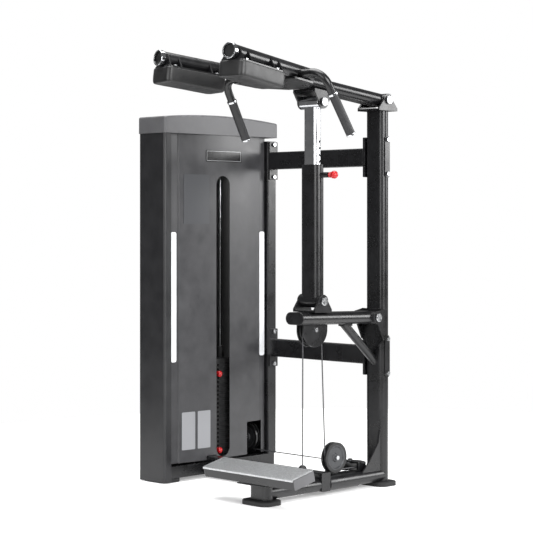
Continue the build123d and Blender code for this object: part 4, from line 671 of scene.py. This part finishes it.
class OBJECT_OT_calf_stage(bpy.types.Operator):
    """Adds the camera, the pale floor and the soft lamps"""

    bl_idname = "object.calf_stage"
    bl_label = "Set the stage"

    def execute(self, context):
        settings = context.scene.calf_stage
        scene = context.scene
        lens = bpy.data.cameras.new("camera")
        lens.lens = settings.lens
        lens.sensor_width = SENSOR_WIDTH
        lens.shift_y = settings.shift
        lens.clip_end = VIEW_DEPTH
        eye = bpy.data.objects.new("camera", lens)
        eye.location = settings.eye
        eye.rotation_euler = (math.pi / 2, 0, settings.heading)
        scene.collection.objects.link(eye)
        scene.camera = eye
        scene.view_settings.view_transform = "Standard"

        bm = bmesh.new()
        bmesh.ops.create_circle(bm, cap_ends=True, radius=settings.floor_radius, segments=FLOOR_SIDES)
        white = linear("#ffffff")
        glow = {"Specular IOR Level": 0.2, "Emission Color": white, "Emission Strength": settings.floor_glow}
        material, tree, shader = new_material("matt_studio_floor", glow)
        mottle(tree, shader, place_of(tree), 900 * MM, "#f2f2f2", "#f6f6f6", (0.75, 0.85))
        floor = mesh_object("studio_floor", bm, material, smooth=False)

        lamps = (
            ("key", settings.key, (5.0, -1.2, 2.6), 3.4),
            ("fill", settings.fill, (1.0, -6.0, 2.2), 3.6),
            ("top", settings.top, (-0.6, -0.6, 4.6), 4.0),
            ("back", settings.back, (3.4, 4.6, 2.4), 2.6),
        )
        target = Vector(LAMP_TARGET)
        for name, power, spot, size in lamps:
            light = bpy.data.lights.new(name, "AREA")
            light.shape = "DISK"
            light.size = size
            light.energy = power
            lamp = bpy.data.objects.new(name, light)
            lamp.location = spot
            lamp.rotation_euler = (target - Vector(spot)).to_track_quat("-Z", "Y").to_euler()
            scene.collection.objects.link(lamp)

        world = bpy.data.worlds.new("white_studio")
        world.use_nodes = True
        tree = world.node_tree
        tree.nodes.clear()
        rays = add_node(tree, "ShaderNodeLightPath")
        strength = add_node(
            tree,
            "ShaderNodeMapRange",
            values={"To Min": settings.sky, "To Max": settings.backdrop},
            links={"Value": rays.outputs["Is Camera Ray"]},
        )
        power = {"Strength": strength.outputs["Result"]}
        sky = add_node(tree, "ShaderNodeBackground", values={"Color": white}, links=power)
        add_node(tree, "ShaderNodeOutputWorld", links={"Surface": sky.outputs["Background"]})
        scene.world = world
        return {"FINISHED"}


class VIEW3D_PT_calf_raise(bpy.types.Panel):
    """The machine's steps and sizes"""

    bl_label = "Calf raise machine"
    bl_idname = "VIEW3D_PT_calf_raise"
    bl_space_type = "VIEW_3D"
    bl_region_type = "UI"
    bl_category = "Calf raise"

    def draw(self, context):
        for step in STEPS:
            self.layout.operator(step.bl_idname)
        for group in (context.scene.calf_upholstery, context.scene.calf_finish, context.scene.calf_stage):
            box = self.layout.box()
            for name in group.__annotations__:
                box.prop(group, name)


STEPS = (
    OBJECT_OT_calf_steel,
    OBJECT_OT_calf_plastic,
    OBJECT_OT_calf_pulleys,
    OBJECT_OT_calf_pads,
    OBJECT_OT_calf_cables,
    OBJECT_OT_calf_stage,
)
CLASSES = (UpholsterySettings, FinishSettings, StageSettings) + STEPS + (VIEW3D_PT_calf_raise,)


def register():
    for cls in CLASSES:
        bpy.utils.register_class(cls)
    bpy.types.Scene.calf_upholstery = PointerProperty(type=UpholsterySettings)
    bpy.types.Scene.calf_finish = PointerProperty(type=FinishSettings)
    bpy.types.Scene.calf_stage = PointerProperty(type=StageSettings)


def unregister():
    del bpy.types.Scene.calf_stage
    del bpy.types.Scene.calf_finish
    del bpy.types.Scene.calf_upholstery
    for cls in reversed(CLASSES):
        bpy.utils.unregister_class(cls)


def main():
    register()
    bpy.ops.object.calf_steel()
    bpy.ops.object.calf_plastic()
    bpy.ops.object.calf_pulleys()
    bpy.ops.object.calf_pads()
    bpy.ops.object.calf_cables()
    bpy.ops.object.calf_stage()


if __name__ == "__main__":
    main()
